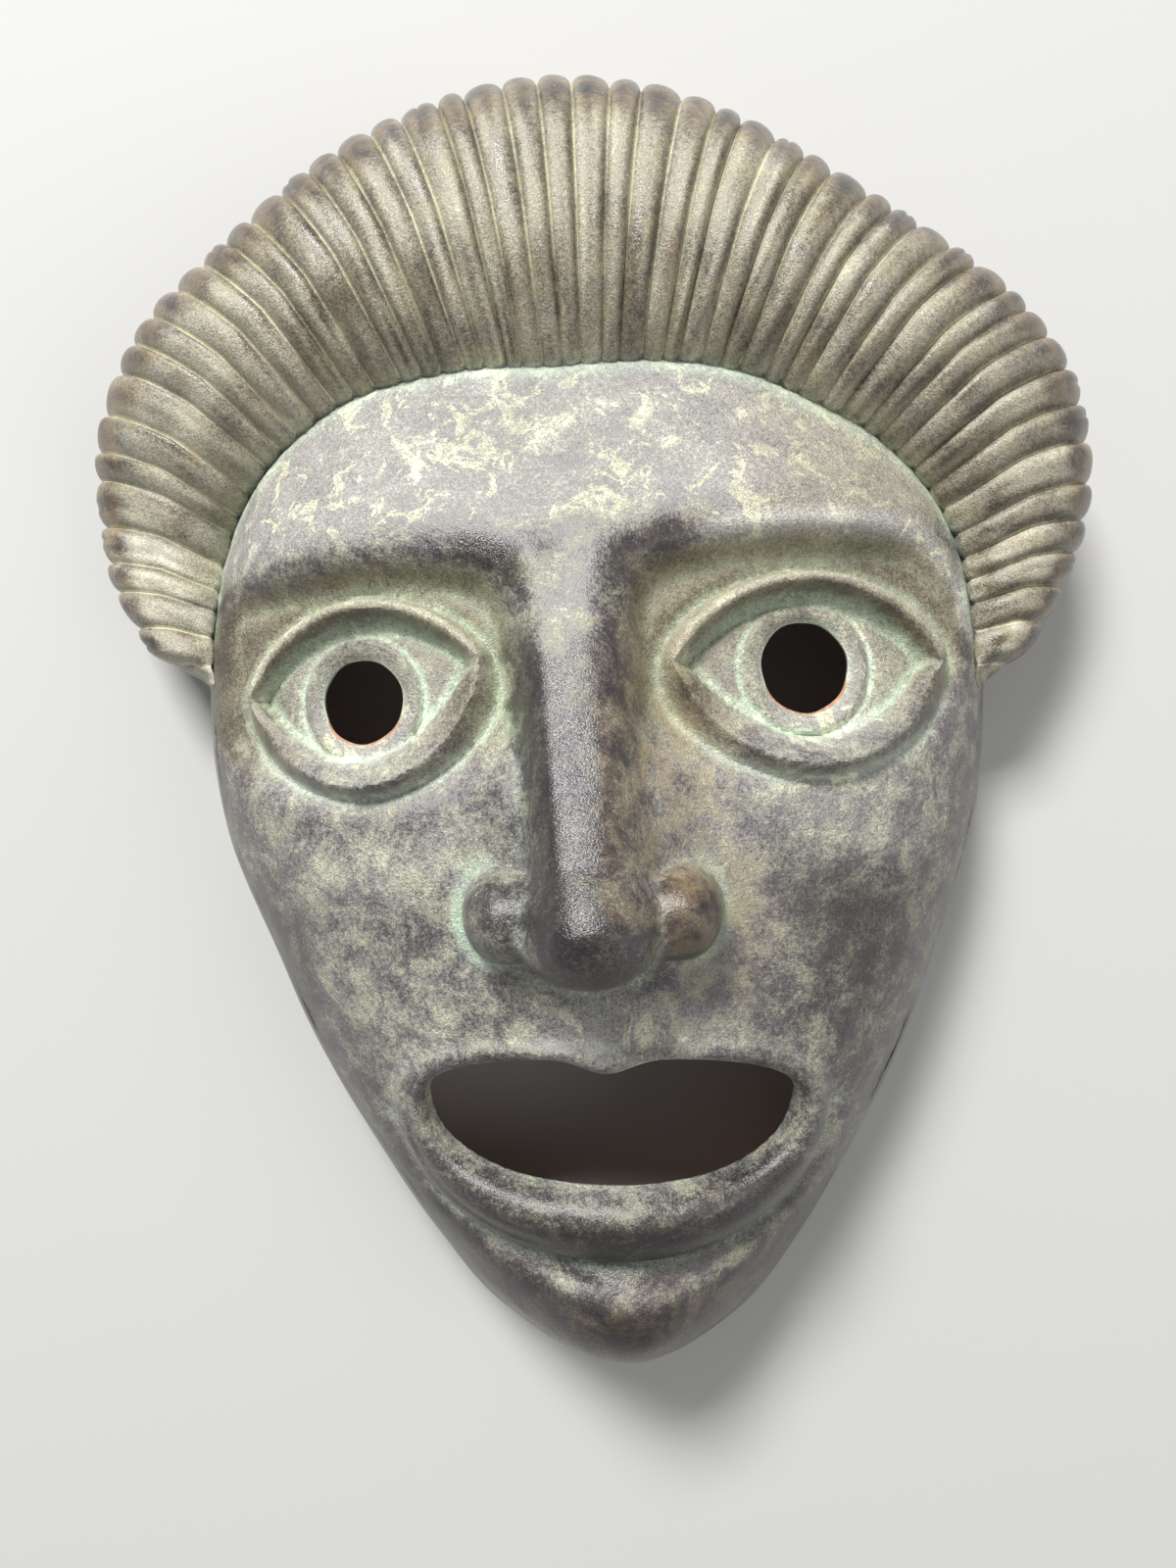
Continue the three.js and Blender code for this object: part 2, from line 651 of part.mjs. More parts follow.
class Shell {
  constructor() {
    this.positions = [];
    this.faces = [];
  }

  vertex(x, y, z) {
    this.positions.push(x, y, z);
    return this.positions.length / 3 - 1;
  }

  // Two closed runs of vertices, joined by facets. Each run has its vertices and their places, from
  // 0 to 1 round the loop. The facets face the side that has the second run on its left.
  join(first, second) {
    const rows = [first, second].map(({ vertices, places }) => ({
      vertices: [...vertices, vertices[0]],
      places: [...places, places[0] + 1],
    }));
    const ends = rows.map((row) => row.vertices.length - 1);
    let [i, j] = [0, 0];
    while (i < ends[0] || j < ends[1]) {
      const stepFirst = j === ends[1] || (i < ends[0] && rows[0].places[i + 1] <= rows[1].places[j + 1]);
      if (stepFirst) {
        this.faces.push([rows[0].vertices[i], rows[1].vertices[j], rows[0].vertices[i + 1]]);
        i += 1;
      } else {
        this.faces.push([rows[0].vertices[i], rows[1].vertices[j], rows[1].vertices[j + 1]]);
        j += 1;
      }
    }
  }

  addSheet(sheet, facingOut, known = new Map()) {
    const index = new Map(known);
    sheet.points.forEach((point, i) => {
      if (i > 2 && !index.has(i)) {
        index.set(i, this.vertex(point.x, point.y, point.z));
      }
    });
    for (const [a, b, c] of sheet.facets()) {
      const [p, q, r] = [a, b, c].map((i) => sheet.points[i]);
      const upward = (q.x - p.x) * (r.y - p.y) - (r.x - p.x) * (q.y - p.y) > 0;
      const face = [a, b, c].map((i) => index.get(i));
      this.faces.push(upward === facingOut ? face : face.reverse());
    }
    return sheet.loops.map((loop) => loop.map((i) => index.get(i)));
  }

  geometry() {
    const geometry = new THREE.BufferGeometry();
    geometry.setAttribute('position', new THREE.Float32BufferAttribute(this.positions, 3));
    geometry.setIndex(this.faces.flat());
    return geometry;
  }
}

// Columns all the way round, clockwise from the left end of the hair
function outerColumns() {
  const edges = lockEdges();
  const columns = [];
  for (let i = 0; i < LOCKS; i++) {
    for (let k = 0; k < 4; k++) {
      const phase = k / 4 - 0.5;
      const angle = lerp(edges[i], edges[i + 1], k / 4);
      columns.push({ angle, phase, coarse: k % 2 === 0 });
    }
  }
  for (let i = 0; i < JAW_COLUMNS; i++) {
    const angle = HAIR_END_ANGLE + ((360 - 2 * HAIR_END_ANGLE) * i) / JAW_COLUMNS;
    columns.push({ angle: angle > 180 ? angle - 360 : angle, phase: 0.5, coarse: true });
  }
  return columns;
}

function pupilLoop(eye, flare) {
  const loop = [];
  const radius = eye.pupilRadius + flare;
  for (let i = 0; i < PUPIL_SIDES; i++) {
    const turn = (-2 * Math.PI * i) / PUPIL_SIDES;
    const across = eye.pupilX + radius * Math.cos(turn);
    const [x, y] = fromFaceAxes(eye.side * across, eye.pupilY + radius * Math.sin(turn));
    loop.push({ x, y });
  }
  return eye.side > 0 ? loop : loop.reverse();
}

// Edges of the pupils and the mouth on one surface, wider by their flare
function openings(height, pupilFlare, mouthFlare) {
  const loops = EYES.map((eye) => pupilLoop(eye, pupilFlare));
  loops.push(mouthLoop(MOUTH_SIDES, mouthFlare, mouthFlare, mouthFlare).reverse());
  return loops.map((loop) => loop.map(({ x, y }) => ({ x, y, z: height(x, y) })));
}

function evenPlaces(vertices) {
  return { vertices, places: vertices.map((_, i) => i / vertices.length) };
}

function buildShell() {
  const shell = new Shell();
  const columns = outerColumns();
  const coarse = columns.filter((column) => column.coarse);
  const placesOf = (list) => list.map(({ angle }) => ((angle + HAIR_END_ANGLE + 360) % 360) / 360);
  const row = (list, station) => ({
    vertices: list.map(({ angle, phase }) => shell.vertex(...columnPoint(angle, station, phase))),
    places: placesOf(list),
  });

  const edge = coarse.map(({ angle, phase }) => {
    const [x, y, z] = columnPoint(angle, -HAIR_FRONT_ANGLE, phase);
    return { x, y, z };
  });
  const face = new Sheet(edge, openings(faceHeight, 0, 0), faceHeight).refine(COARSE_GRID, FACE_POINTS);
  const [faceEdge, ...faceHoles] = shell.addSheet(face, true);

  const edgeRow = { vertices: faceEdge, places: placesOf(coarse) };
  const rows = [edgeRow, ...STATIONS.map((station) => row(columns, station)), row(coarse, RIM_STATION)];
  for (let i = 0; i + 1 < rows.length; i++) {
    shell.join(rows[i + 1], rows[i]);
  }
  const outerRim = rows[rows.length - 1];

  const rimPoints = outerRim.vertices.map((i) => {
    return new THREE.Vector3(shell.positions[3 * i], shell.positions[3 * i + 1], 0);
  });
  const innerRadius = radiusTable(insetLoop(rimPoints, WALL));
  const insideAngles = [];
  for (let i = 0; i < INSIDE_COLUMNS; i++) {
    insideAngles.push(-HAIR_END_ANGLE + (360 * i) / INSIDE_COLUMNS);
  }
  const wrap = (angle) => (angle > 180 ? angle - 360 : angle);
  const insideRow = (inset, share) => insideAngles.map((angle) => {
    const radius = innerRadius(wrap(angle)) - inset;
    const [x, y] = pointAt(angle, radius);
    return { x, y, z: insideHeight(x, y) * share };
  });
  const toVertices = (points) => evenPlaces(points.map(({ x, y, z }) => shell.vertex(x, y, z)));
  const innerRim = toVertices(insideRow(0, 0));
  const innerWall = toVertices(insideRow(0.4, 0.6));
  const insideOpenings = openings(insideHeight, PUPIL_FLARE, MOUTH_FLARE);
  const inside = new Sheet(insideRow(2, 1), insideOpenings, insideHeight).refine(COARSE_GRID, INSIDE_POINTS);
  const [insideEdge, ...insideHoles] = shell.addSheet(inside, false);

  shell.join(innerRim, outerRim);
  shell.join(innerWall, innerRim);
  shell.join(evenPlaces(insideEdge), innerWall);
  faceHoles.forEach((hole, i) => shell.join(evenPlaces(hole), evenPlaces(insideHoles[i])));
  return shell.geometry();
}

const terracotta = new THREE.MeshStandardMaterial({ color: 0x6b6a5c, roughness: 0.55, metalness: 0 });

const geometry = buildShell();
geometry.computeBoundingBox();
const mask = new THREE.Mesh(geometry, terracotta);
mask.name = 'mask';
const centre = geometry.boundingBox.getCenter(new THREE.Vector3());
mask.position.set(-centre.x, -centre.y, 0);

const model = new THREE.Group();
model.add(mask);

export default model;
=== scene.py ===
import math
from types import SimpleNamespace as Eye

import bpy
import numpy as np
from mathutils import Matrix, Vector
from mathutils.geometry import delaunay_2d_cdt


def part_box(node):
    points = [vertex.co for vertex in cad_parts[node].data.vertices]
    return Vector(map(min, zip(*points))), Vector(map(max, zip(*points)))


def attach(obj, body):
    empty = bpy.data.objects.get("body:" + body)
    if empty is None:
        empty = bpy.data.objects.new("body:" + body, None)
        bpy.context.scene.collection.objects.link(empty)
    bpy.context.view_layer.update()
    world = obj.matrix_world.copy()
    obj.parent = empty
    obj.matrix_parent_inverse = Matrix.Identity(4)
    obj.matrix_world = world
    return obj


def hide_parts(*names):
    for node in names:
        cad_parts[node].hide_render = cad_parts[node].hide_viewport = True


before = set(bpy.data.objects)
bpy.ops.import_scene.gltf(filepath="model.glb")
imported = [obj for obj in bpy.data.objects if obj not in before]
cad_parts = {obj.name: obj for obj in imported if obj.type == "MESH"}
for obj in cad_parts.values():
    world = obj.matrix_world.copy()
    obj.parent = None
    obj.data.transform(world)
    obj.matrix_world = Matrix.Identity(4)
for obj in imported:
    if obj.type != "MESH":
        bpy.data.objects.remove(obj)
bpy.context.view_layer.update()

# Sizes. The mask is carved in millimetres, in the carving frame of the solid: x to the right,
# y up the face, z out of it. MM turns them into metres, from the length of the solid. Features of
# the face are placed in its own axes, which lean a little: u across from the nose, v up.

NOMINAL_LENGTH = 265.2
mask_low, mask_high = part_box("mask")
MM = (mask_high[1] - mask_low[1]) / NOMINAL_LENGTH

WALL = 5.0
FACE_DEPTH = 63.0
FACE_ROUNDNESS = 2.6
MIDDLE = (0.5, 11.0)
FACE_LEAN = math.radians(4.35)
LEAN_X = -1.0

# Rim of the face: share of the half width at each height, about a middle that drifts to the chin
RIM_TOP = 106.0
RIM_CHIN = -125.4
RIM_DRIFT = 0.05
RIM_MIDDLE_X = 2.0
FACE_HALF_WIDTH = 85.0
RIM_WIDTH_SHARES = [
    (104, 0.353), (89, 0.682), (65, 0.894), (38, 0.988), (12, 1), (-12, 0.96), (-35, 0.861),
    (-57, 0.757), (-78, 0.623), (-99, 0.466), (-115, 0.3),
]
JAW_EDGE_SHARE = 0.93

# Hair: the line where it starts and its outline at each angle, and the roll that stands on them.
# A station goes over the roll, from the hairline over the crest to the widest place and the rim.
HAIR_END = 84.0
HAIR_BLEND = 5.0
HAIRLINE = [
    (-84, 77.5), (-73, 82), (-65, 86), (-55, 85.5), (-45, 82), (-36, 79), (-27, 74.3), (-18, 70.5),
    (-8, 67.8), (2, 68.3), (14, 70.8), (26, 73.6), (35, 75.3), (45, 79.3), (56, 82.5), (64, 82.6),
    (73, 80.8), (84, 78),
]
HAIR_REACH = 129.2
HAIR_OUTLINE_SHARES = [
    (-84, 0.646), (-80, 0.72), (-75, 0.786), (-70, 0.848), (-64, 0.906), (-56, 0.947), (-47, 0.954),
    (-35, 0.948), (-20, 0.978), (-5, 1), (5, 0.991), (14, 0.962), (22, 0.935), (32, 0.925),
    (43, 0.944), (52, 0.942), (60, 0.906), (67, 0.851), (75, 0.762), (80, 0.7), (84, 0.642),
]
HAIR_RISE = 13.0
HAIR_SIDE_HEIGHT = 27.0
HAIR_TUCK = 5.0
HAIR_CREST_SHARE = 0.45
HAIR_FRONT = 65.0
WIDEST_STATION = 90.0
RIM_STATION = 180.0
LOCKS = 51
LOCK_RELIEF = 2.2
LOCK_FILL = 0.85
LOCK_BOW = 2.0
LOCK_NARROWING = 0.25
GROOVE_DEPTH = 0.45

# Brows, sockets and eyes
BROW_RISE = 1.6
SOCKET_DEPTH = 6.6
SOCKET = [
    (8.3, 6), (8, 20), (8.6, 31), (13, 39), (25, 43), (39, 44.4), (56, 44.2), (69, 42),
    (77, 33), (78, 18), (66, 4), (50, -5), (34, -7), (18, -4),
]

SOCKET_REACH = 22
EYE_POWER = 1.85
LID_RISE = 6.0
LID_FALL = 0.92
LID_SEAM_DEPTH = 0.4
POUCH_DEPTH = 0.9
EYEBALL_RISE = 4.4
EYEBALL_SINK = 2.2
IRIS_GROOVE_DEPTH = 0.7
PUPIL_DISH_DEPTH = 1.6
EYES = [
    Eye(side=-1, x=39.2, y=19.6, half=25.6, up=18.1, down=19.6,
        inner=(18.8, 22.7), outer=(59.9, 20.2), top=30.1, bottom=7.3,
        pupil=(39.4, 18.2), pupil_radius=7.8, iris_radius=11.8),
    Eye(side=1, x=44.0, y=18.6, half=29.0, up=18.0, down=21.0,
        inner=(20.2, 19.9), outer=(66.4, 17.9), top=29.3, bottom=5.2,
        pupil=(42.4, 18.3), pupil_radius=8.4, iris_radius=12.5),
]

# Nose
NOSE_ROOT = 36.0
NOSE_TIP = -35.0
NOSE_TIP_RISE = 27.0
NOSE_ROOT_RISE = 3.0
NOSE_ROOT_HALF = 7.8
NOSE_TIP_HALF = 9.6
NOSE_FULL_RISE_SHARE = 0.87
NOSE_TIP_X = -0.6
NOSE_TIP_RADIUS = 13.2
NOSE_TIP_BELOW = 10.0
NOSE_TIP_ABOVE = 15.0
NOSE_TIP_POWER = 2.5
NOSE_RIGHT_POWER = 4.2
NOSE_LEFT_POWER = 6.5
FLANK_RISE = 5.0
WING = (15.6, -21.6)
WING_HALF = (7.2, 8.8)
WING_RISE = 16.5
WING_DROP = 1.5
WING_STRETCH = 1.9
WING_POWER = 2.3

# Mouth, lips and chin
MOUTH = (4.5, -58.5)
MOUTH_UPPER_POWER = 2.4
MOUTH_LOWER_POWER = 2.5
MOUTH_HALF = 34.6
MOUTH_UP = 9.8
MOUTH_DOWN = 17.0
MOUTH_NOTCH = 2.7
MOUTH_FLARE = 2.4
PUPIL_FLARE = 1.0
LIP_SIDE = 7.6
UPPER_LIP = 4.0
LOWER_LIP = 14.0
LIP_ROLL = 5.4
LIP_CREASE_DEPTH = 2.4
LIP_FOLD_DEPTH = 0.7
LIP_TURN_IN = 3.4
PHILTRUM_DEPTH = 1.2
MUZZLE_RISE = 3.5
CHIN = (7.6, -108.0)
CHIN_RISE = 12.0

# Marks and unevenness of the surface: depth, size and seed of each noise
GOUGE_DEPTH = 0.7
SCRATCH_DEPTH = 0.5
BEAD_RISE = 0.55
FACE_UNEVENNESS = [(0.22, 14, 1), (0.10, 5, 2)]

# Fineness of the mesh
FINE = 0.8
FACE_EDGE_STEP = 3
LOCK_SAMPLES = 12
JAW_COLUMNS = 240
PUPIL_SIDES = 72
MOUTH_SIDES = 180
INSIDE_COLUMNS = 150
INSIDE_GRID = 3.0
STATIONS = np.r_[-62, -58, -52, -46, -40, np.linspace(-34, 90, 34)[:-1],
                 np.linspace(90, 150, 8)[:-1], 150, 165, 176]

# Rows of points round the foot of the rim (height and inset), up the wall inside (inset and share
# of the height), and through the holes (share of the way down and of the way out)
RIM_ROUNDING = [(1.1, 0.0), (0.4, 0.25), (0.0, 1.1)]
INSIDE_WALL_ROWS = [(0.2, 0.35), (0.5, 0.68)]
HOLE_WALL_ROWS = [(0.12, -0.02), (0.3, 0.08), (0.6, 0.4), (0.85, 0.75)]


# Small helpers on arrays

def clamp(x, low=0.0, high=1.0):
    return np.clip(x, low, high)


def lerp(a, b, share):
    return a + (b - a) * share


def ease(x, low, high):
    """Goes smoothly from 0 at low to 1 at high."""
    t = clamp((x - low) / (high - low))
    return t * t * (3 - 2 * t)


def bump(distance, width):
    return np.exp(-(distance / width) ** 2)


def merge(a, b, blend):
    """Union of two swellings: rounded where both stand up, crisp where either of them ends."""
    width = np.clip(np.minimum(a, b), 0.01, blend)
    share = clamp(0.5 + 0.5 * (a - b) / width)
    return lerp(b, a, share) + width * share * (1 - share)


NOISE_WAVES = 14


def value_noise(points, size, seed):
    """Smooth noise, mostly from -1 to 1, with features about size across."""
    rng = np.random.default_rng(seed)
    waves = rng.normal(size=(NOISE_WAVES, points.shape[1]))
    waves /= np.linalg.norm(waves, axis=1, keepdims=True)
    lengths = size * rng.uniform(0.75, 1.6, NOISE_WAVES)
    phases = rng.uniform(0, 2 * math.pi, NOISE_WAVES)
    total = np.zeros(len(points))
    for wave, length, phase in zip(waves, lengths, phases):
        total += np.sin(points @ wave * (math.pi / length) + phase)
    return total / math.sqrt(NOISE_WAVES / 2) / 1.6


# Outlines

def hermite(start, end, start_slope, end_slope, t):
    return (start + start_slope * t + (3 * (end - start) - 2 * start_slope - end_slope) * t ** 2
            + (2 * (start - end) + start_slope + end_slope) * t ** 3)


def smooth_loop(corners, samples):
    """Closed centripetal spline through the corners."""
    p = np.array(corners, float)
    n = len(p)
    out = []
    for k in range(samples):
        place = k / samples * n
        i = int(place)
        t = place - i
        p0, p1, p2, p3 = p[(i - 1) % n], p[i % n], p[(i + 1) % n], p[(i + 2) % n]
        d0, d1, d2 = (math.sqrt(np.linalg.norm(b - a)) for a, b in ((p0, p1), (p1, p2), (p2, p3)))
        t1 = ((p1 - p0) / d0 - (p2 - p0) / (d0 + d1) + (p2 - p1) / d1) * d1
        t2 = ((p2 - p1) / d1 - (p3 - p1) / (d1 + d2) + (p3 - p2) / d2) * d1
        out.append(hermite(p1, p2, t1, t2, t))
    return np.array(out)


def rim_middle(y):
    return RIM_MIDDLE_X - RIM_DRIFT * min(y, 0.0)


def rim_loop():
    right = [(rim_middle(y) + share * FACE_HALF_WIDTH, y) for y, share in RIM_WIDTH_SHARES]
    left = [(rim_middle(y) - share * FACE_HALF_WIDTH, y) for y, share in reversed(RIM_WIDTH_SHARES)]
    top, chin = (rim_middle(RIM_TOP), RIM_TOP), (rim_middle(RIM_CHIN), RIM_CHIN)
    return smooth_loop([top] + right + [chin] + left, 720)


def mouth_loop(samples, side=0.0, up=0.0, down=0.0, notch=MOUTH_NOTCH):
    angle = np.radians(np.arange(720) / 2 + 0.25)
    x = np.cos(angle) * (MOUTH_HALF + side)
    share = np.abs(np.cos(angle))
    arch = (1 - share ** MOUTH_UPPER_POWER) ** (1 / MOUTH_UPPER_POWER)
    above = arch * (MOUTH_UP + up) - notch * bump(x + 1.2, 6)
    below = -(1 - share ** MOUTH_LOWER_POWER) ** (1 / MOUTH_LOWER_POWER) * (MOUTH_DOWN + down)
    loop = np.c_[MOUTH[0] + x, MOUTH[1] + np.where(np.sin(angle) > 0, above, below)]
    return even_loop(loop, samples)


def even_loop(loop, samples):
    closed = np.vstack([loop, loop[:1]])
    run = np.r_[0, np.cumsum(np.linalg.norm(np.diff(closed, axis=0), axis=1))]
    want = np.linspace(0, run[-1], samples, endpoint=False)
    return np.c_[np.interp(want, run, closed[:, 0]), np.interp(want, run, closed[:, 1])]


def angle_of(x, y):
    """Angle from straight up, clockwise as seen from the front, in degrees."""
    return np.degrees(np.arctan2(x - MIDDLE[0], y - MIDDLE[1]))


def point_at(angle, radius):
    turn = np.radians(angle)
    return MIDDLE[0] + np.sin(turn) * radius, MIDDLE[1] + np.cos(turn) * radius


def radius_table(loop):
    angle = angle_of(loop[:, 0], loop[:, 1])
    radius = np.hypot(loop[:, 0] - MIDDLE[0], loop[:, 1] - MIDDLE[1])
    order = np.argsort(angle)
    angle, radius = angle[order], radius[order]
    angle = np.r_[angle[-1] - 360, angle, angle[0] + 360]
    radius = np.r_[radius[-1], radius, radius[0]]
    return lambda a: np.interp(a, angle, radius)


def smooth_table(pairs):
    """A function that follows a smooth curve through the pairs."""
    p = np.array(pairs, float)
    n = len(p)
    fine = []
    for k in range(n * 12 + 1):
        place = (n - 1) * k / (n * 12)
        i = min(int(place), n - 2)
        t = place - i
        p0, p1, p2, p3 = p[max(i - 1, 0)], p[i], p[i + 1], p[min(i + 2, n - 1)]
        fine.append(hermite(p1, p2, (p2 - p0) / 2, (p3 - p1) / 2, t))
    fine = np.array(fine)
    return lambda a: np.interp(a, fine[:, 0], fine[:, 1])


rim_radius = radius_table(rim_loop())
hairline_radius = smooth_table(HAIRLINE)
hair_radius = smooth_table([(angle, share * HAIR_REACH) for angle, share in HAIR_OUTLINE_SHARES])
socket_outline = smooth_loop(SOCKET, 96)
mouth_outline = mouth_loop(120)
lips_outline = mouth_loop(120, LIP_SIDE, UPPER_LIP, LOWER_LIP, MOUTH_NOTCH * 0.5)


def edge_radius(angle):
    """Where the face ends: the hairline above, a line close inside the rim along the jaw."""
    jaw = rim_radius(angle) * JAW_EDGE_SHARE
    blend = ease(np.abs(angle), HAIR_END - 4, HAIR_END + 4)
    return lerp(hairline_radius(clamp(angle, -HAIR_END, HAIR_END)), jaw, blend)


def loop_distance(loop, x, y):
    """Distance to a closed outline, positive inside it."""
    nearest = np.full(x.shape, np.inf)
    inside = np.zeros(x.shape, bool)
    before = np.roll(loop, 1, axis=0)
    for (bx, by), (ax, ay) in zip(loop, before):
        ex, ey = bx - ax, by - ay
        wx, wy = x - ax, y - ay
        along = clamp((wx * ex + wy * ey) / (ex * ex + ey * ey))
        nearest = np.minimum(nearest, (wx - ex * along) ** 2 + (wy - ey * along) ** 2)
        if by != ay:
            inside ^= ((by > y) != (ay > y)) & (x < ax + ex * wy / ey)
    return np.sqrt(nearest) * np.where(inside, 1, -1)


def near_distance(loop, x, y, reach):
    """Distance to a closed outline, worked out only for points within reach of its box."""
    low, high = loop.min(axis=0) - reach, loop.max(axis=0) + reach
    near = (x > low[0]) & (x < high[0]) & (y > low[1]) & (y < high[1])
    distance = np.full(x.shape, -float(reach))
    distance[near] = np.maximum(loop_distance(loop, x[near], y[near]), -reach)
    return distance


# Relief of the face

def dome(share, power):
    return np.sqrt(np.maximum(1 - share ** power, 0))


def dome_height(share):
    return FACE_DEPTH * dome(share, FACE_ROUNDNESS)


def face_axes(x, y):
    across = x - LEAN_X
    return (across * math.cos(FACE_LEAN) + y * math.sin(FACE_LEAN),
            y * math.cos(FACE_LEAN) - across * math.sin(FACE_LEAN))


def from_face_axes(u, v):
    return (LEAN_X + u * math.cos(FACE_LEAN) - v * math.sin(FACE_LEAN),
            v * math.cos(FACE_LEAN) + u * math.sin(FACE_LEAN))


def socket_relief(u, v):
    across = np.abs(u)
    within = near_distance(socket_outline, across, v, SOCKET_REACH)
    brow = BROW_RISE * bump(within + 5, 5) * ease(v, 26, 40)
    cheek = ease(-v, -18, 6)
    crisp = ease(within, -0.8, 6.5)
    soft = ease(within, -1, 13) * (1 - ease(-v, -16, 4))
    temple = 1 - 0.6 * ease(across, 56, 78)
    return brow - SOCKET_DEPTH * lerp(crisp, soft, cheek) * temple


def nose_relief(u, v):
    side = np.abs(u)
    along = (NOSE_ROOT - v) / (NOSE_ROOT - NOSE_TIP)
    inside = clamp(along)
    half = lerp(NOSE_ROOT_HALF, NOSE_TIP_HALF, inside ** 1.5)
    rise = lerp(NOSE_ROOT_RISE, NOSE_TIP_RISE, np.minimum(inside / NOSE_FULL_RISE_SHARE, 1) ** 1.1)
    section = np.where(u > 0, 1 / (1 + (side / half / 1.26) ** NOSE_RIGHT_POWER),
                       1 / (1 + (side / half / 1.12) ** NOSE_LEFT_POWER))
    section = section - 0.07 * np.minimum(side / half, 1) ** 2
    run = ease(along, -0.3, 0.1) * (1 - ease(-v, -NOSE_TIP - 12, -NOSE_TIP - 1))
    back = rise * section * run
    tip_up = v - NOSE_TIP - NOSE_TIP_BELOW
    tip_share = np.hypot((u - NOSE_TIP_X) / NOSE_TIP_RADIUS,
                         tip_up / np.where(tip_up > 0, NOSE_TIP_ABOVE, NOSE_TIP_BELOW))
    tip = (NOSE_TIP_RISE + 0.3) * dome(tip_share, NOSE_TIP_POWER)
    outward = side - WING[0]
    wing_share = np.hypot(outward / np.where(outward < 0, WING_HALF[0] * WING_STRETCH, WING_HALF[0]),
                          (v - WING[1] + np.where(u > 0, WING_DROP, 0)) / WING_HALF[1])
    wing = WING_RISE * dome(wing_share, WING_POWER)
    flank = FLANK_RISE * bump(side - 12, 7) * ease(-v, -24, 6) * ease(v, -44, -24)
    return merge(merge(back, tip, 5), merge(wing, flank, 3), 3)


def lid_distances(eye, across, v):
    (inner_x, inner_y), (outer_x, outer_y) = eye.inner, eye.outer
    share = (across - inner_x) / (outer_x - inner_x)
    arch = 1 - (2 * clamp(share, -0.3, 1.3) - 1) ** 2
    line = lerp(inner_y, outer_y, share)
    middle = 0.5 * (inner_y + outer_y)
    return line + (eye.top - middle) * arch - v, v - line + (middle - eye.bottom) * arch


def eye_share(eye, u, v):
    """Place across from the nose, height from the middle of the eye, and share of the way out of it."""
    across = u * eye.side
    height = (v - eye.y) / np.where(v > eye.y, eye.up, eye.down)
    powers = np.abs((across - eye.x) / eye.half) ** EYE_POWER + np.abs(height) ** EYE_POWER
    return across, height, powers ** (1 / EYE_POWER)


def eye_relief(eye, u, v):
    across, _, share = eye_share(eye, u, v)
    within = (1 - share) * eye.up
    under, over = lid_distances(eye, across, v)
    opening = np.minimum(under, over)
    step = clamp(within / np.maximum(within - opening, 1))
    fall = clamp((step - 0.40) / 0.60)
    upper_lid = np.sin(0.5 * math.pi * clamp(step / 0.24)) - LID_FALL * (1 - (1 - fall) ** 2.2)
    slope = clamp((step - 0.34) / 0.66)
    lower_lid = LID_FALL * clamp(step / 0.32) ** 0.9 - 0.5 * slope
    lid = LID_RISE * lerp(upper_lid, lower_lid, ease(under - over, -3.5, 3.5))
    lid = lid * ease(within, -0.4, 0.4)
    (inner_x, _), (outer_x, _) = eye.inner, eye.outer
    ball_share = np.hypot((across - 0.5 * (inner_x + outer_x)) / (0.62 * (outer_x - inner_x)),
                          (v - 0.5 * (eye.top + eye.bottom)) / (0.85 * (eye.top - eye.bottom)))
    ball = EYEBALL_RISE * dome(ball_share, 2) - EYEBALL_SINK
    from_pupil = np.hypot(across - eye.pupil[0], v - eye.pupil[1])
    radius, hole = eye.iris_radius, eye.pupil_radius
    iris = 1 - ease(from_pupil, radius - 0.8, radius)
    iris = iris - IRIS_GROOVE_DEPTH * bump(from_pupil - radius - 0.3, 0.6)
    dish = PUPIL_DISH_DEPTH * (1 - clamp((from_pupil - hole) / (radius - hole))) ** 1.5
    edge = np.exp(-np.maximum(from_pupil - hole, 0) / 0.5)
    ball = ball + iris - dish - edge
    seam = LID_SEAM_DEPTH * bump(opening, 0.45)
    relief = lerp(lid, ball, ease(opening, -0.35, 0.4)) - seam * (share < 0.98)
    pouch = POUCH_DEPTH * bump(within + 0.3, 0.9)
    return np.where((share > 1.3) | (across < 0), 0, relief - pouch)


def mouth_relief(x, y):
    outside = -near_distance(mouth_outline, x, y, 60)
    within_lips = near_distance(lips_outline, x, y, 30)
    lower = ease(-y, -MOUTH[1] - 7, -MOUTH[1] + 6)
    share = clamp(outside / np.maximum(outside + within_lips, 1))
    roll = dome(np.abs(2 * share - 1), 2.2) * (within_lips > 0)
    swell = 0.5 * (1 - ease(share, 0.15, 1.0))
    crease = LIP_CREASE_DEPTH * lower * np.where(within_lips < 0, bump(within_lips, 4.5), 1)
    depth = np.maximum(outside, 0)
    turn_in = LIP_TURN_IN * np.exp(-depth / 2.6) + 1.2 * np.exp(-depth / 0.6)
    fold = LIP_FOLD_DEPTH * lower * bump(within_lips - 3.4, 0.8) * ease(-x, -2, 14)
    return LIP_ROLL * lerp(swell, roll, lower) - crease - turn_in - fold


def marks_relief(x, y):
    """Old tool marks: a gouge on the chin and a scratch on the lower lip."""
    gouge = GOUGE_DEPTH * bump(y + 94.0, 0.7) * ease(x, -6.4, -5.2) * (1 - ease(x, 1.0, 2.2))
    along = (x - 17.5) * 0.8 + (y + 81.5) * 0.6
    aside = (y + 81.5) * 0.8 - (x - 17.5) * 0.6
    scratch = SCRATCH_DEPTH * bump(aside, 0.6) * bump(along, 3.2)
    return -gouge - scratch


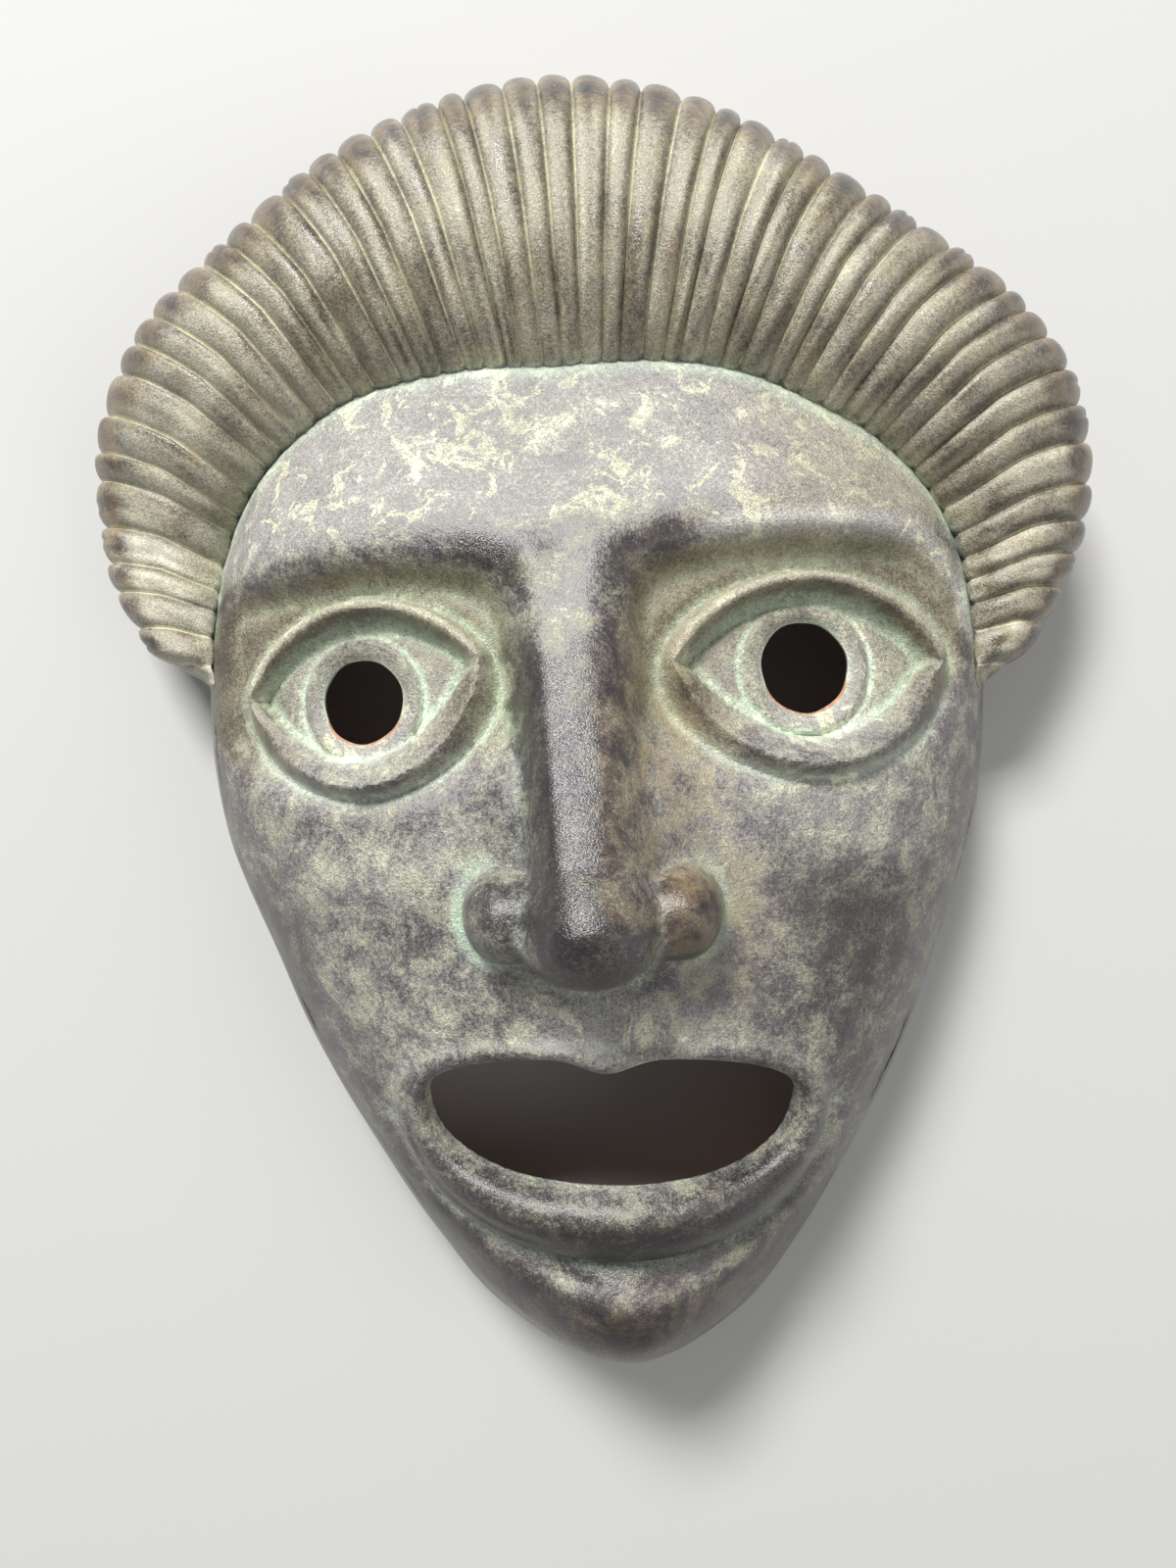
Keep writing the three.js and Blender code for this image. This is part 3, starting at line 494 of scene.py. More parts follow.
def edge_relief(x, y, angle, radius):
    """The worked edge of the forehead: a thin lumpy bead along the hairline."""
    inside = edge_radius(angle) - radius
    lumps = 0.6 + 0.5 * value_noise(np.c_[x, y], 3.0, 5)
    above = 1 - ease(np.abs(angle), HAIR_END - 6, HAIR_END)
    return BEAD_RISE * lumps * bump(inside - 1.3, 0.9) * above


def face_height(x, y, fine=False):
    """Height of the face over the rim, with its marks and unevenness if it is fine."""
    angle = angle_of(x, y)
    radius = np.hypot(x - MIDDLE[0], y - MIDDLE[1])
    share = radius / rim_radius(angle)
    u, v = face_axes(x, y)
    carved = 1 - ease(share, 0.82, 0.95)
    muzzle = MUZZLE_RISE * bump(x - MOUTH[0], 36) * bump(y - MOUTH[1], 26)
    chin = CHIN_RISE * bump(x - CHIN[0], 20) * bump(y - CHIN[1], 15)
    philtrum = PHILTRUM_DEPTH * bump(u, 3.2) * ease(-v, 38, 42) * ease(v, -52, -47)
    relief = socket_relief(u, v) + nose_relief(u, v) + mouth_relief(x, y) + muzzle - philtrum
    for eye in EYES:
        relief = relief + eye_relief(eye, u, v)
    height = dome_height(share) + relief * carved + chin * (1 - ease(share, 0.9, 0.99))
    if fine:
        for depth, size, seed in FACE_UNEVENNESS:
            height = height + depth * value_noise(np.c_[x, y], size, seed)
        height = height + marks_relief(x, y) + edge_relief(x, y, angle, radius)
    return height


# Hair and side wall

def lock_edges():
    share = np.linspace(-1, 1, 2001)
    shaped = share - LOCK_NARROWING / 3 * share ** 3
    want = np.linspace(shaped[0], shaped[-1], LOCKS + 1)
    edges = np.interp(want, shaped, share) * HAIR_END
    rng = np.random.default_rng(11)
    edges[1:-1] += rng.uniform(-0.16, 0.16, LOCKS - 1) * np.diff(edges)[1:]
    return edges


def hair_profile(angle, station):
    start = edge_radius(angle)
    reach = hair_radius(clamp(angle, -HAIR_END, HAIR_END))
    x0, y0 = point_at(angle, start)
    foot = face_height(x0, y0)
    crest = foot + HAIR_RISE * (1 - clamp(np.abs(angle) / HAIR_END) ** 3)
    crest_radius = lerp(start, reach, HAIR_CREST_SHARE)
    side = np.minimum(HAIR_SIDE_HEIGHT, foot * 0.75)
    turn = np.radians(station)
    front = math.radians(HAIR_FRONT)
    rise = (np.cos(turn) - math.cos(front)) / (1 - math.cos(front))
    down = (station - WIDEST_STATION) / (RIM_STATION - WIDEST_STATION)
    radius = np.where(
        station < 0, lerp(crest_radius, start, np.sin(-turn) / math.sin(front)),
        np.where(station <= WIDEST_STATION, lerp(crest_radius, reach, np.sin(turn)),
                 reach - HAIR_TUCK * np.maximum(down, 0) ** 2))
    height = np.where(
        station < 0, lerp(foot, crest, rise),
        np.where(station <= WIDEST_STATION, lerp(side, crest, np.cos(turn)), side * (1 - down)))
    return radius, height


def jaw_profile(angle, station):
    start = edge_radius(angle)
    end = rim_radius(angle)
    x0, y0 = point_at(angle, start)
    level = face_height(x0, y0)
    drop = 1 - (station + HAIR_FRONT) / (RIM_STATION + HAIR_FRONT)
    top = 1 - (start / end) ** FACE_ROUNDNESS
    share = (1 - drop ** 2 * top) ** (1 / FACE_ROUNDNESS)
    return end * share, level * drop


def column_points(angle, station, relief):
    """Points of the strip, for a grid of columns by stations; relief stands out along the roll."""
    jaw_share = ease(np.abs(angle), HAIR_END - HAIR_BLEND, HAIR_END)
    hair, jaw = hair_profile(angle, station), jaw_profile(angle, station)
    radius = lerp(hair[0], jaw[0], jaw_share)
    height = lerp(hair[1], jaw[1], jaw_share)
    turn = np.radians(np.minimum(station, WIDEST_STATION))
    fade = ease(station, -HAIR_FRONT - 20, -HAIR_FRONT + 30)
    fade = fade * (1 - 0.8 * ease(station, 110, RIM_STATION))
    relief = relief * fade * (1 - jaw_share)
    bow = LOCK_BOW * np.sin(np.radians(2 * angle)) * np.sin(np.radians(clamp(station, 0, RIM_STATION)))
    x, y = point_at(angle + bow * (1 - jaw_share), radius + relief * np.sin(turn))
    return np.stack([x, y, np.maximum(height + relief * np.cos(turn), 0)], axis=-1)


def upper_height(x, y):
    """Height of the outside over any place, for the inside to follow."""
    angle = angle_of(x, y)
    radius = np.hypot(x - MIDDLE[0], y - MIDDLE[1])
    result = np.zeros(x.shape)
    on_face = radius <= edge_radius(angle)
    result[on_face] = face_height(x[on_face], y[on_face])
    in_hair = ~on_face & (np.abs(angle) < HAIR_END)
    jaw = ~on_face & ~in_hair
    result[jaw] = dome_height(radius[jaw] / rim_radius(angle[jaw]))
    a, r = angle[in_hair], radius[in_hair]
    stations = np.linspace(-HAIR_FRONT, WIDEST_STATION, 40)
    grid_a, grid_s = np.meshgrid(a, stations, indexing="ij")
    radii, heights = hair_profile(grid_a, grid_s)
    beyond = (radii < r[:, None]).sum(axis=1).clip(1, len(stations) - 1)
    rows = np.arange(len(r))
    low, high = radii[rows, beyond - 1], radii[rows, beyond]
    share = clamp((r - low) / np.maximum(high - low, 1e-6))
    height = lerp(heights[rows, beyond - 1], heights[rows, beyond], share) - LOCK_RELIEF * 0.6
    result[in_hair] = np.where(r > radii[:, -1], 0, height)
    return result


def inside_height(x, y):
    """The underside of a ball of the wall's radius, rolled along the outside."""
    lowest = upper_height(x, y) - WALL
    for share, count in ((0.45, 6), (0.8, 8), (0.98, 8)):
        drop = WALL * math.sqrt(1 - share ** 2)
        for i in range(count):
            turn = 2 * math.pi * i / count
            height = upper_height(x + WALL * share * math.cos(turn), y + WALL * share * math.sin(turn))
            lowest = np.minimum(lowest, height - drop)
    return np.maximum(lowest, 0)


# Mesh of the shell

MASKS = ("tone", "olive", "mint", "ochre", "bare", "hair", "groove")


class Shell:
    """Points, faces and masks of the whole mesh, in millimetres."""

    def __init__(self):
        self.points = []
        self.faces = []
        self.masks = {}
        self.count = 0

    def add(self, points, **masks):
        """Adds points with their masks, and gives their indices."""
        points = np.asarray(points, float).reshape(-1, 3)
        self.points.append(points)
        for name in MASKS:
            value = masks.get(name, 0.0)
            self.masks.setdefault(name, []).append(np.broadcast_to(value, len(points)))
        first = self.count
        self.count += len(points)
        return np.arange(first, self.count)

    def join(self, first, second, first_places, second_places):
        """Joins two closed runs by their places round the loop, from 0 to 1."""
        rows = (list(first) + [first[0]], list(second) + [second[0]])
        places = (list(first_places) + [first_places[0] + 1], list(second_places) + [second_places[0] + 1])
        i = j = 0
        while i < len(first) or j < len(second):
            if j == len(second) or (i < len(first) and places[0][i + 1] <= places[1][j + 1]):
                self.faces.append((rows[0][i], rows[1][j], rows[0][i + 1]))
                i += 1
            else:
                self.faces.append((rows[0][i], rows[1][j], rows[1][j + 1]))
                j += 1

    def join_grid(self, grid):
        """Joins the rows of a closed grid of indices with quads."""
        for above, below in zip(grid[:-1], grid[1:]):
            self.faces.extend(zip(below, above, np.roll(above, -1), np.roll(below, -1)))


def sheet(loops, free_points, height, facing_out, shell, masks_of, loop_heights):
    """A triangulated surface inside the first loop and outside the others."""
    outline = np.vstack(loops)
    guards = []
    for loop in loops:
        nxt = np.roll(loop, -1, axis=0)
        guards.append(np.c_[(loop + nxt) / 2, np.linalg.norm(nxt - loop, axis=1) * 0.62])
    guards = np.vstack(guards)
    keep = loop_distance(loops[0], free_points[:, 0], free_points[:, 1]) > 0.25
    for loop in loops[1:]:
        keep &= loop_distance(loop, free_points[:, 0], free_points[:, 1]) < -0.2
    free_points = free_points[keep]
    for gx, gy, radius in guards:
        near = (free_points[:, 0] - gx) ** 2 + (free_points[:, 1] - gy) ** 2 < radius ** 2
        if near.any():
            free_points = free_points[~near]
    points = np.vstack([outline, free_points])
    edges = []
    first = 0
    for loop in loops:
        edges += [(first + i, first + (i + 1) % len(loop)) for i in range(len(loop))]
        first += len(loop)
    flat = delaunay_2d_cdt([Vector(p) for p in points], edges, [], 0, 1e-7)
    spots = np.array([(v.x, v.y) for v in flat[0]])
    origin = np.full(len(spots), -1)
    for i, sources in enumerate(flat[3]):
        origin[i] = sources[0] if sources else -1
    triangles = np.array(flat[2])
    centres = spots[triangles].mean(axis=1)
    inside = loop_distance(loops[0], centres[:, 0], centres[:, 1]) > 0
    for loop in loops[1:]:
        inside &= loop_distance(loop, centres[:, 0], centres[:, 1]) < 0
    triangles = triangles[inside]
    z = height(spots[:, 0], spots[:, 1])
    for i, place in enumerate(origin):
        if 0 <= place < len(loop_heights):
            z[i] = loop_heights[place]
    index = shell.add(np.c_[spots, z], **masks_of(spots[:, 0], spots[:, 1]))
    a, b, c = (spots[triangles[:, k]] for k in range(3))
    turn = (b[:, 0] - a[:, 0]) * (c[:, 1] - a[:, 1]) - (c[:, 0] - a[:, 0]) * (b[:, 1] - a[:, 1])
    flip = (turn > 0) != facing_out
    triangles[flip] = triangles[flip][:, ::-1]
    shell.faces.extend(map(tuple, index[triangles]))
    back = {place: i for i, place in enumerate(origin) if place >= 0}
    result = []
    first = 0
    for loop in loops:
        result.append(index[[back[first + i] for i in range(len(loop))]])
        first += len(loop)
    return result


def lattice(step, low, high):
    rows = np.arange(low[1], high[1], step * math.sqrt(3) / 2)
    columns = np.arange(low[0], high[0], step)
    j, i = np.meshgrid(np.arange(len(rows)), np.arange(len(columns)), indexing="ij")
    x = columns[0] + (i + 0.5 * (j % 2)) * step
    y = rows[0] + j * step * math.sqrt(3) / 2
    rng = np.random.default_rng(3)
    x = x + rng.uniform(-0.04, 0.04, x.shape) * step
    y = y + rng.uniform(-0.04, 0.04, y.shape) * step
    return x.ravel(), y.ravel(), i.ravel(), j.ravel()


def blur(field, sigma):
    """Gaussian blur of a regular grid, along both axes."""
    reach = int(3 * sigma) + 1
    kernel = np.exp(-0.5 * (np.arange(-reach, reach + 1) / sigma) ** 2)
    kernel /= kernel.sum()
    for axis in (0, 1):
        padded = np.pad(field, [(reach, reach) if k == axis else (0, 0) for k in (0, 1)], mode="edge")
        field = sum(w * np.take(padded, range(i, i + field.shape[axis]), axis=axis)
                    for i, w in enumerate(kernel))
    return field


class ReliefMap:
    """Height of the face on a regular grid, for its hollows, ridges and places with detail."""
    STEP = 0.7
    DETAIL_LIMIT = 0.035

    def __init__(self):
        self.xs = np.arange(-92, 96, self.STEP)
        self.ys = np.arange(-130, 92, self.STEP)
        gx, gy = np.meshgrid(self.xs, self.ys)
        height = face_height(gx.ravel(), gy.ravel()).reshape(gx.shape)
        slope = np.gradient(height, self.STEP)
        level = 1 / np.sqrt(1 + slope[0] ** 2 + slope[1] ** 2)
        self.fine = (blur(height, 1.2 / self.STEP) - height) * level
        self.broad = (blur(height, 4.0 / self.STEP) - height) * level
        self.detail = blur(np.abs(blur(height, 0.9 / self.STEP) - height), 1.0 / self.STEP)

    def read(self, field, x, y):
        i = clamp((x - self.xs[0]) / self.STEP, 0, len(self.xs) - 1.001)
        j = clamp((y - self.ys[0]) / self.STEP, 0, len(self.ys) - 1.001)
        i0, j0 = i.astype(int), j.astype(int)
        fi, fj = i - i0, j - j0
        top = lerp(field[j0, i0], field[j0, i0 + 1], fi)
        bottom = lerp(field[j0 + 1, i0], field[j0 + 1, i0 + 1], fi)
        return lerp(top, bottom, fj)


def blob(u, v, centre, size):
    return np.exp(-((u - centre[0]) / size[0]) ** 2 - ((v - centre[1]) / size[1]) ** 2)


# Patina of the face, and painted light and shade on the lids, sockets and right brow: tones from 0 for
# nearly black to 1 for cream, and how far each feature moves them
FACE_TONE = 0.47
FOREHEAD_PALER = 0.28
# Darker patina and painted shade in the recess of each eye socket
SOCKET_PATINA_AND_SHADE = 0.14
EYE_PALER = 0.43
BROW_DARKER = 0.15
INNER_BROW_DARKER = 0.20
# Painted light that lifts the shade under the right brow
RIGHT_BROW_PAINTED_LIGHT = 0.42
NOSE_ROOT_PALER = 0.22
NOSE_TONE = 0.23
NOSE_RIGHT_PALER = 0.17
NOSE_TIP_DARKER = 0.07
WING_TONE = 0.50
RIGHT_WING_DARKER = 0.28
SPOTS_DARKER = 0.20
LIPS_PALER = 0.08
CHIN_DARKER = 0.31
CHIN_BAND_PALER = 0.37
# Painted highlight on each upper lid's edge, painted shade in its fold and along the lower lid
LID_EDGE_PAINTED_HIGHLIGHT = 0.46
LID_FOLD_PAINTED_SHADE = 0.20
LOWER_LID_PAINTED_SHADE = 0.16
RIDGE_DARKER = 0.14
HOLLOW_PALER = 0.10

# Patches: how far each moves the mask, its middle in the face axes, and its reach across and up
EYE_REACH = (25, 17)
NOSE_ROOT_PATCH = ((-1.0, 30), (6, 13))
FOREHEAD_PATCH = ((2, 60), (24, 20))
TONE_PATCHES = [
    (0.20, (-40, -10), (26, 8)), (0.18, (44, -12), (26, 8)), (0.05, (-48, -36), (16, 24)),
    (-0.13, (40, -46), (18, 22)), (-0.04, (-20, -52), (14, 10)), (-0.05, (-62, -12), (9, 12)),
    (0.21, (0, -44), (30, 9)),
]
OCHRE_PATCHES = [(0.5, (26, -26), (6, 12)), (0.35, (12, -108), (26, 12))]


def patches(u, v, table):
    return sum(amount * blob(u, v, centre, size) for amount, centre, size in table)


def lid_tones(u, v):
    """Painted highlight on the edge and painted shade in the fold of each upper lid, and painted shade along
    the edge of the lower one.
    """
    total = 0
    for eye in EYES:
        across, height, share = eye_share(eye, u, v)
        depth = (1 - share) * eye.up
        edge = bump(depth - 1.6, 1.3) * ease(height, -0.2, 0.2)
        fold = bump(depth - 5.0, 2.0) * ease(height, 0.0, 0.5)
        lower = bump(depth - 1.7, 0.8) * ease(-height, 0.1, 0.5)
        tones = LID_EDGE_PAINTED_HIGHLIGHT * edge - LID_FOLD_PAINTED_SHADE * fold - LOWER_LID_PAINTED_SHADE * lower
        total = total + tones * (across > 0)
    return total


def bare_pupil_edges(u, v):
    """Bare clay along the lower edge of each pupil."""
    bare = np.zeros(u.shape)
    for eye in EYES:
        across = u * eye.side
        along, up = across - eye.pupil[0], v - eye.pupil[1]
        edge = np.exp(-np.maximum(np.hypot(along, up) - eye.pupil_radius, 0) / 0.35)
        bare = bare + edge * ease(-up, 0.3, 5.5) * (np.abs(across - eye.x) < eye.half)
    return bare


def face_masks(relief, x, y):
    """How pale, olive, green and ochre the patina is over the face, with painted shade in the sockets and on
    the lids, a painted highlight on the upper lids and painted light under the right brow, and where the
    clay is bare.
    """
    u, v = face_axes(x, y)
    side, right = np.abs(u), u > 0
    place = np.c_[x, y]
    hollow = clamp(relief.read(relief.fine, x, y) / 0.30)
    ridge = clamp(-relief.read(relief.broad, x, y) / 1.2)
    angle = angle_of(x, y)
    to_edge = edge_radius(angle) - np.hypot(x - MIDDLE[0], y - MIDDLE[1])
    bead = bump(to_edge - 1.2, 1.4) * (1 - ease(np.abs(angle), 70, HAIR_END))
    forehead = ease(v, 41, 50)
    below = ease(-y, 78, 84)

    # Sockets, eyes and brows
    socket = near_distance(socket_outline, side, v, SOCKET_REACH)
    in_socket = ease(socket, 0.5, 4.0) * ease(v, 2, 14)
    in_eye = sum(blob(u * eye.side, v, (eye.x, eye.y - 2), EYE_REACH) for eye in EYES)
    eyes = np.minimum(in_eye * 1.1, 1)
    tone = FACE_TONE + FOREHEAD_PALER * forehead - 0.05 * forehead * ease(u, 0, 60)
    tone -= 0.06 * blob(u, v, *FOREHEAD_PATCH)
    # The sockets get darker patina and painted shade
    tone += EYE_PALER * eyes - SOCKET_PATINA_AND_SHADE * in_socket
    inner_brow = bump(side - 14, 8)
    brow = bump(socket + 0.7 + 2.0 * inner_brow, 1.1 + 2.0 * inner_brow) * ease(v, 24, 34)
    broken = 0.75 + 0.6 * value_noise(place, 9.0, 41)
    darker = BROW_DARKER - 0.10 * right + 0.06 * ease(side, 45, 70)
    darker += INNER_BROW_DARKER * inner_brow
    tone -= brow * broken * darker
    # Painted light under the right brow, where its face turns down from the light
    painted_light_below_brow = bump(socket + 0.2, 3.0) * ease(u, 18, 30) * ease(v, 20, 30)
    tone += RIGHT_BROW_PAINTED_LIGHT * painted_light_below_brow

    # Nose: a dark back with a ragged edge, and its wings
    root = blob(u, v, *NOSE_ROOT_PATCH)
    tone += NOSE_ROOT_PALER * root
    ragged = 1.6 * value_noise(place, 4.0, 43)
    back = 1 - ease(side + ragged, 9.5 + 0.04 * (v + 30), 12.0)
    back = back * ease(-v, -33, -20) * (1 - ease(-v, 31, 36)) * (1 - 0.8 * root)
    back_tone = NOSE_TONE + NOSE_RIGHT_PALER * ease(u, 0, 6)
    tone = lerp(tone, back_tone - NOSE_TIP_DARKER * ease(-v, 14, 26), back)
    wings = blob(side, v, (15.5, -23.5), (7.0, 7.0))
    tone = lerp(tone, WING_TONE - RIGHT_WING_DARKER * right, clamp(1.3 * wings * (1 - back)))

    # Cheeks, lips, chin and lids
    tone += patches(u, v, TONE_PATCHES)
    dark_spots = np.maximum(value_noise(place, 17.0, 47), 0) * ease(-v, -5, 12)
    tone -= SPOTS_DARKER * dark_spots * (1 - back)
    outside = -near_distance(mouth_outline, x, y, 40)
    tone += LIPS_PALER * (1 - ease(outside, 5, 12))
    chin_band = bump(y + 96.0 - 0.01 * (x - 8) ** 2, 3.0) * below
    # lid_tones adds the painted highlight and painted shade of the lids
    tone += CHIN_BAND_PALER * chin_band - CHIN_DARKER * below + lid_tones(u, v)
    tone += HOLLOW_PALER * hollow - RIDGE_DARKER * ridge * (1 - 0.6 * forehead)

    near_wing = blob(side, v, (19, -24), (9, 11)) * (1 - 0.4 * right) * ease(side, 15, 19)
    mint = hollow * clamp(1.1 * in_eye + 1.1 * near_wing + 0.35 * below * (outside > 6) + 0.12)
    mint = np.maximum(np.maximum(mint, 0.8 * bead), 0.05 * in_eye)
    olive = clamp(in_socket * 0.95 * (1 - 0.85 * eyes) + 0.20 * (1 - back))
    olive = np.maximum(olive, 0.55 * forehead * ease(u, 12, 55))
    ochre = ease(u, 7, 12) * (1 - ease(u, 16, 34)) * blob(u, v, (12, -4), (60, 30))
    ochre += 0.45 * back * ease(u, -1, 5) * (1 - ease(-v, 20, 27))
    ochre += 0.8 * bump(socket + 3.2, 1.2) * broken * ease(u, 14, 26) * ease(v, 24, 34)
    ochre += 0.30 * forehead * ease(u, 20, 60) + patches(u, v, OCHRE_PATCHES)
    return dict(tone=clamp(tone, 0.02, 0.98), olive=olive, mint=clamp(mint), ochre=clamp(ochre),
                bare=clamp(bare_pupil_edges(u, v)))


def hair_masks(face, angle, phase, lock, station, streaks):
    """Patina along one station, with a painted highlight along the crest, painted light on the left side and
    painted shade with dark patina on one flank of each lock: that of the locks on the hair, and the face's
    own along the jaw.
    """
    on_hair = (np.abs(angle) < HAIR_END - 1) * 1.0
    outer_end = ease(station, 18, 44)
    crown = bump(phase + 0.04, 0.27)
    # 0.10 * bump(station - 2, 24) is a painted highlight along the crest of the roll; the outer ends are
    # darker patina
    tone = 0.50 + 0.10 * bump(station - 2, 24) - outer_end * (0.10 + 0.38 * crown)
    tone += 0.16 * ease(station, 80, 130) + 0.06 * streaks[lock]
    for amount, across, along, seed in ((0.07, lock * 0.8, 16, 9), (0.09, (lock + phase) * 5.0, 26, 13)):
        tone += amount * value_noise(np.c_[across, np.full(lock.shape, station / along)], 1.0, seed)
    # Painted shade with dark patina on the clockwise flank of each lock (the right one on the top), away
    # from the outer ends
    flank = ease(phase, 0.05, 0.36) * ease(station, -45, -5) * (1 - outer_end)
    # 0.15 * ease(-angle, 25, 65) is painted light on the left side of the hair
    tone += 0.05 * (1 - ease(station, -58, -30)) - 0.17 * flank + 0.15 * ease(-angle, 25, 65)
    return dict(tone=lerp(face["tone"], tone, on_hair),
                olive=lerp(face["olive"], 0.70 - 0.40 * outer_end * crown, on_hair),
                ochre=lerp(face["ochre"], 0.38 + 0.62 * outer_end * (1 - 0.5 * crown), on_hair))


def inside_masks(x, y):
    return dict(bare=1.0, tone=0.5)


def hair_columns():
    """Angle, place across the lock and lock of each column of the strip, and which ones meet the face."""
    edges = lock_edges()
    lock = np.repeat(np.arange(LOCKS), LOCK_SAMPLES)
    part = np.tile(np.arange(LOCK_SAMPLES) / LOCK_SAMPLES, LOCKS)
    angle = lerp(edges[lock], edges[lock + 1], part)
    jaw = HAIR_END + (360 - 2 * HAIR_END) * np.arange(JAW_COLUMNS) / JAW_COLUMNS
    jaw = np.where(jaw > 180, jaw - 360, jaw)
    angle = np.r_[angle, jaw]
    phase = np.r_[part - 0.5, np.full(JAW_COLUMNS, 0.5)]
    lock = np.r_[lock, np.full(JAW_COLUMNS, LOCKS)]
    coarse = np.r_[np.arange(LOCKS * LOCK_SAMPLES) % FACE_EDGE_STEP == 0, np.arange(JAW_COLUMNS) % 2 == 0]
    return angle, phase, lock, coarse


def lock_relief(phase, lock, station):
    """Height of the locks under their crests, in millimetres, and how deep in a groove it is."""
    rng = np.random.default_rng(21)
    depth = np.r_[rng.uniform(0.85, 1.2, LOCKS), 1.0]
    skew = np.r_[rng.uniform(-0.5, 0.5, LOCKS), 0.0]
    split = np.r_[rng.uniform(0, 1, LOCKS) < 0.3, False]
    split_at = np.r_[rng.uniform(-0.16, 0.16, LOCKS), 0.0]
    waver = np.r_[rng.uniform(0, 6.28, LOCKS), 0.0]
    at = phase + skew[lock] * (0.25 - phase ** 2) * 0.6
    at = clamp(at, -0.5, 0.5)
    crown = np.sqrt(1 - LOCK_FILL * (2 * at) ** 2) - 1
    to_edge = 0.5 - np.abs(phase)
    groove = bump(to_edge, 0.07)
    middle = split_at[lock] + 0.05 * np.sin(np.radians(station * 3) + waver[lock])
    second = split[lock] * bump(phase - middle, 0.07) * ease(station, 5, 50)
    relief = LOCK_RELIEF * depth[lock] * crown - GROOVE_DEPTH * groove - 0.45 * second
    return relief, np.maximum(groove, 0.6 * second)


def pupil_loop(eye, wider=0.0):
    turn = -2 * math.pi * np.arange(PUPIL_SIDES) / PUPIL_SIDES
    wobble = 1 + 0.012 * np.sin(3 * turn + eye.side) + 0.008 * np.sin(7 * turn)
    radius = eye.pupil_radius * wobble + wider
    x, y = from_face_axes(eye.side * (eye.pupil[0] + radius * np.cos(turn)),
                          eye.pupil[1] + radius * np.sin(turn))
    loop = np.c_[x, y]
    return loop if eye.side > 0 else loop[::-1]


def inset_radius(points, distance):
    before, after = np.roll(points, 1, axis=0), np.roll(points, -1, axis=0)
    along = after - before
    along /= np.linalg.norm(along, axis=1, keepdims=True)
    return radius_table(points + np.c_[along[:, 1], -along[:, 0]] * distance)


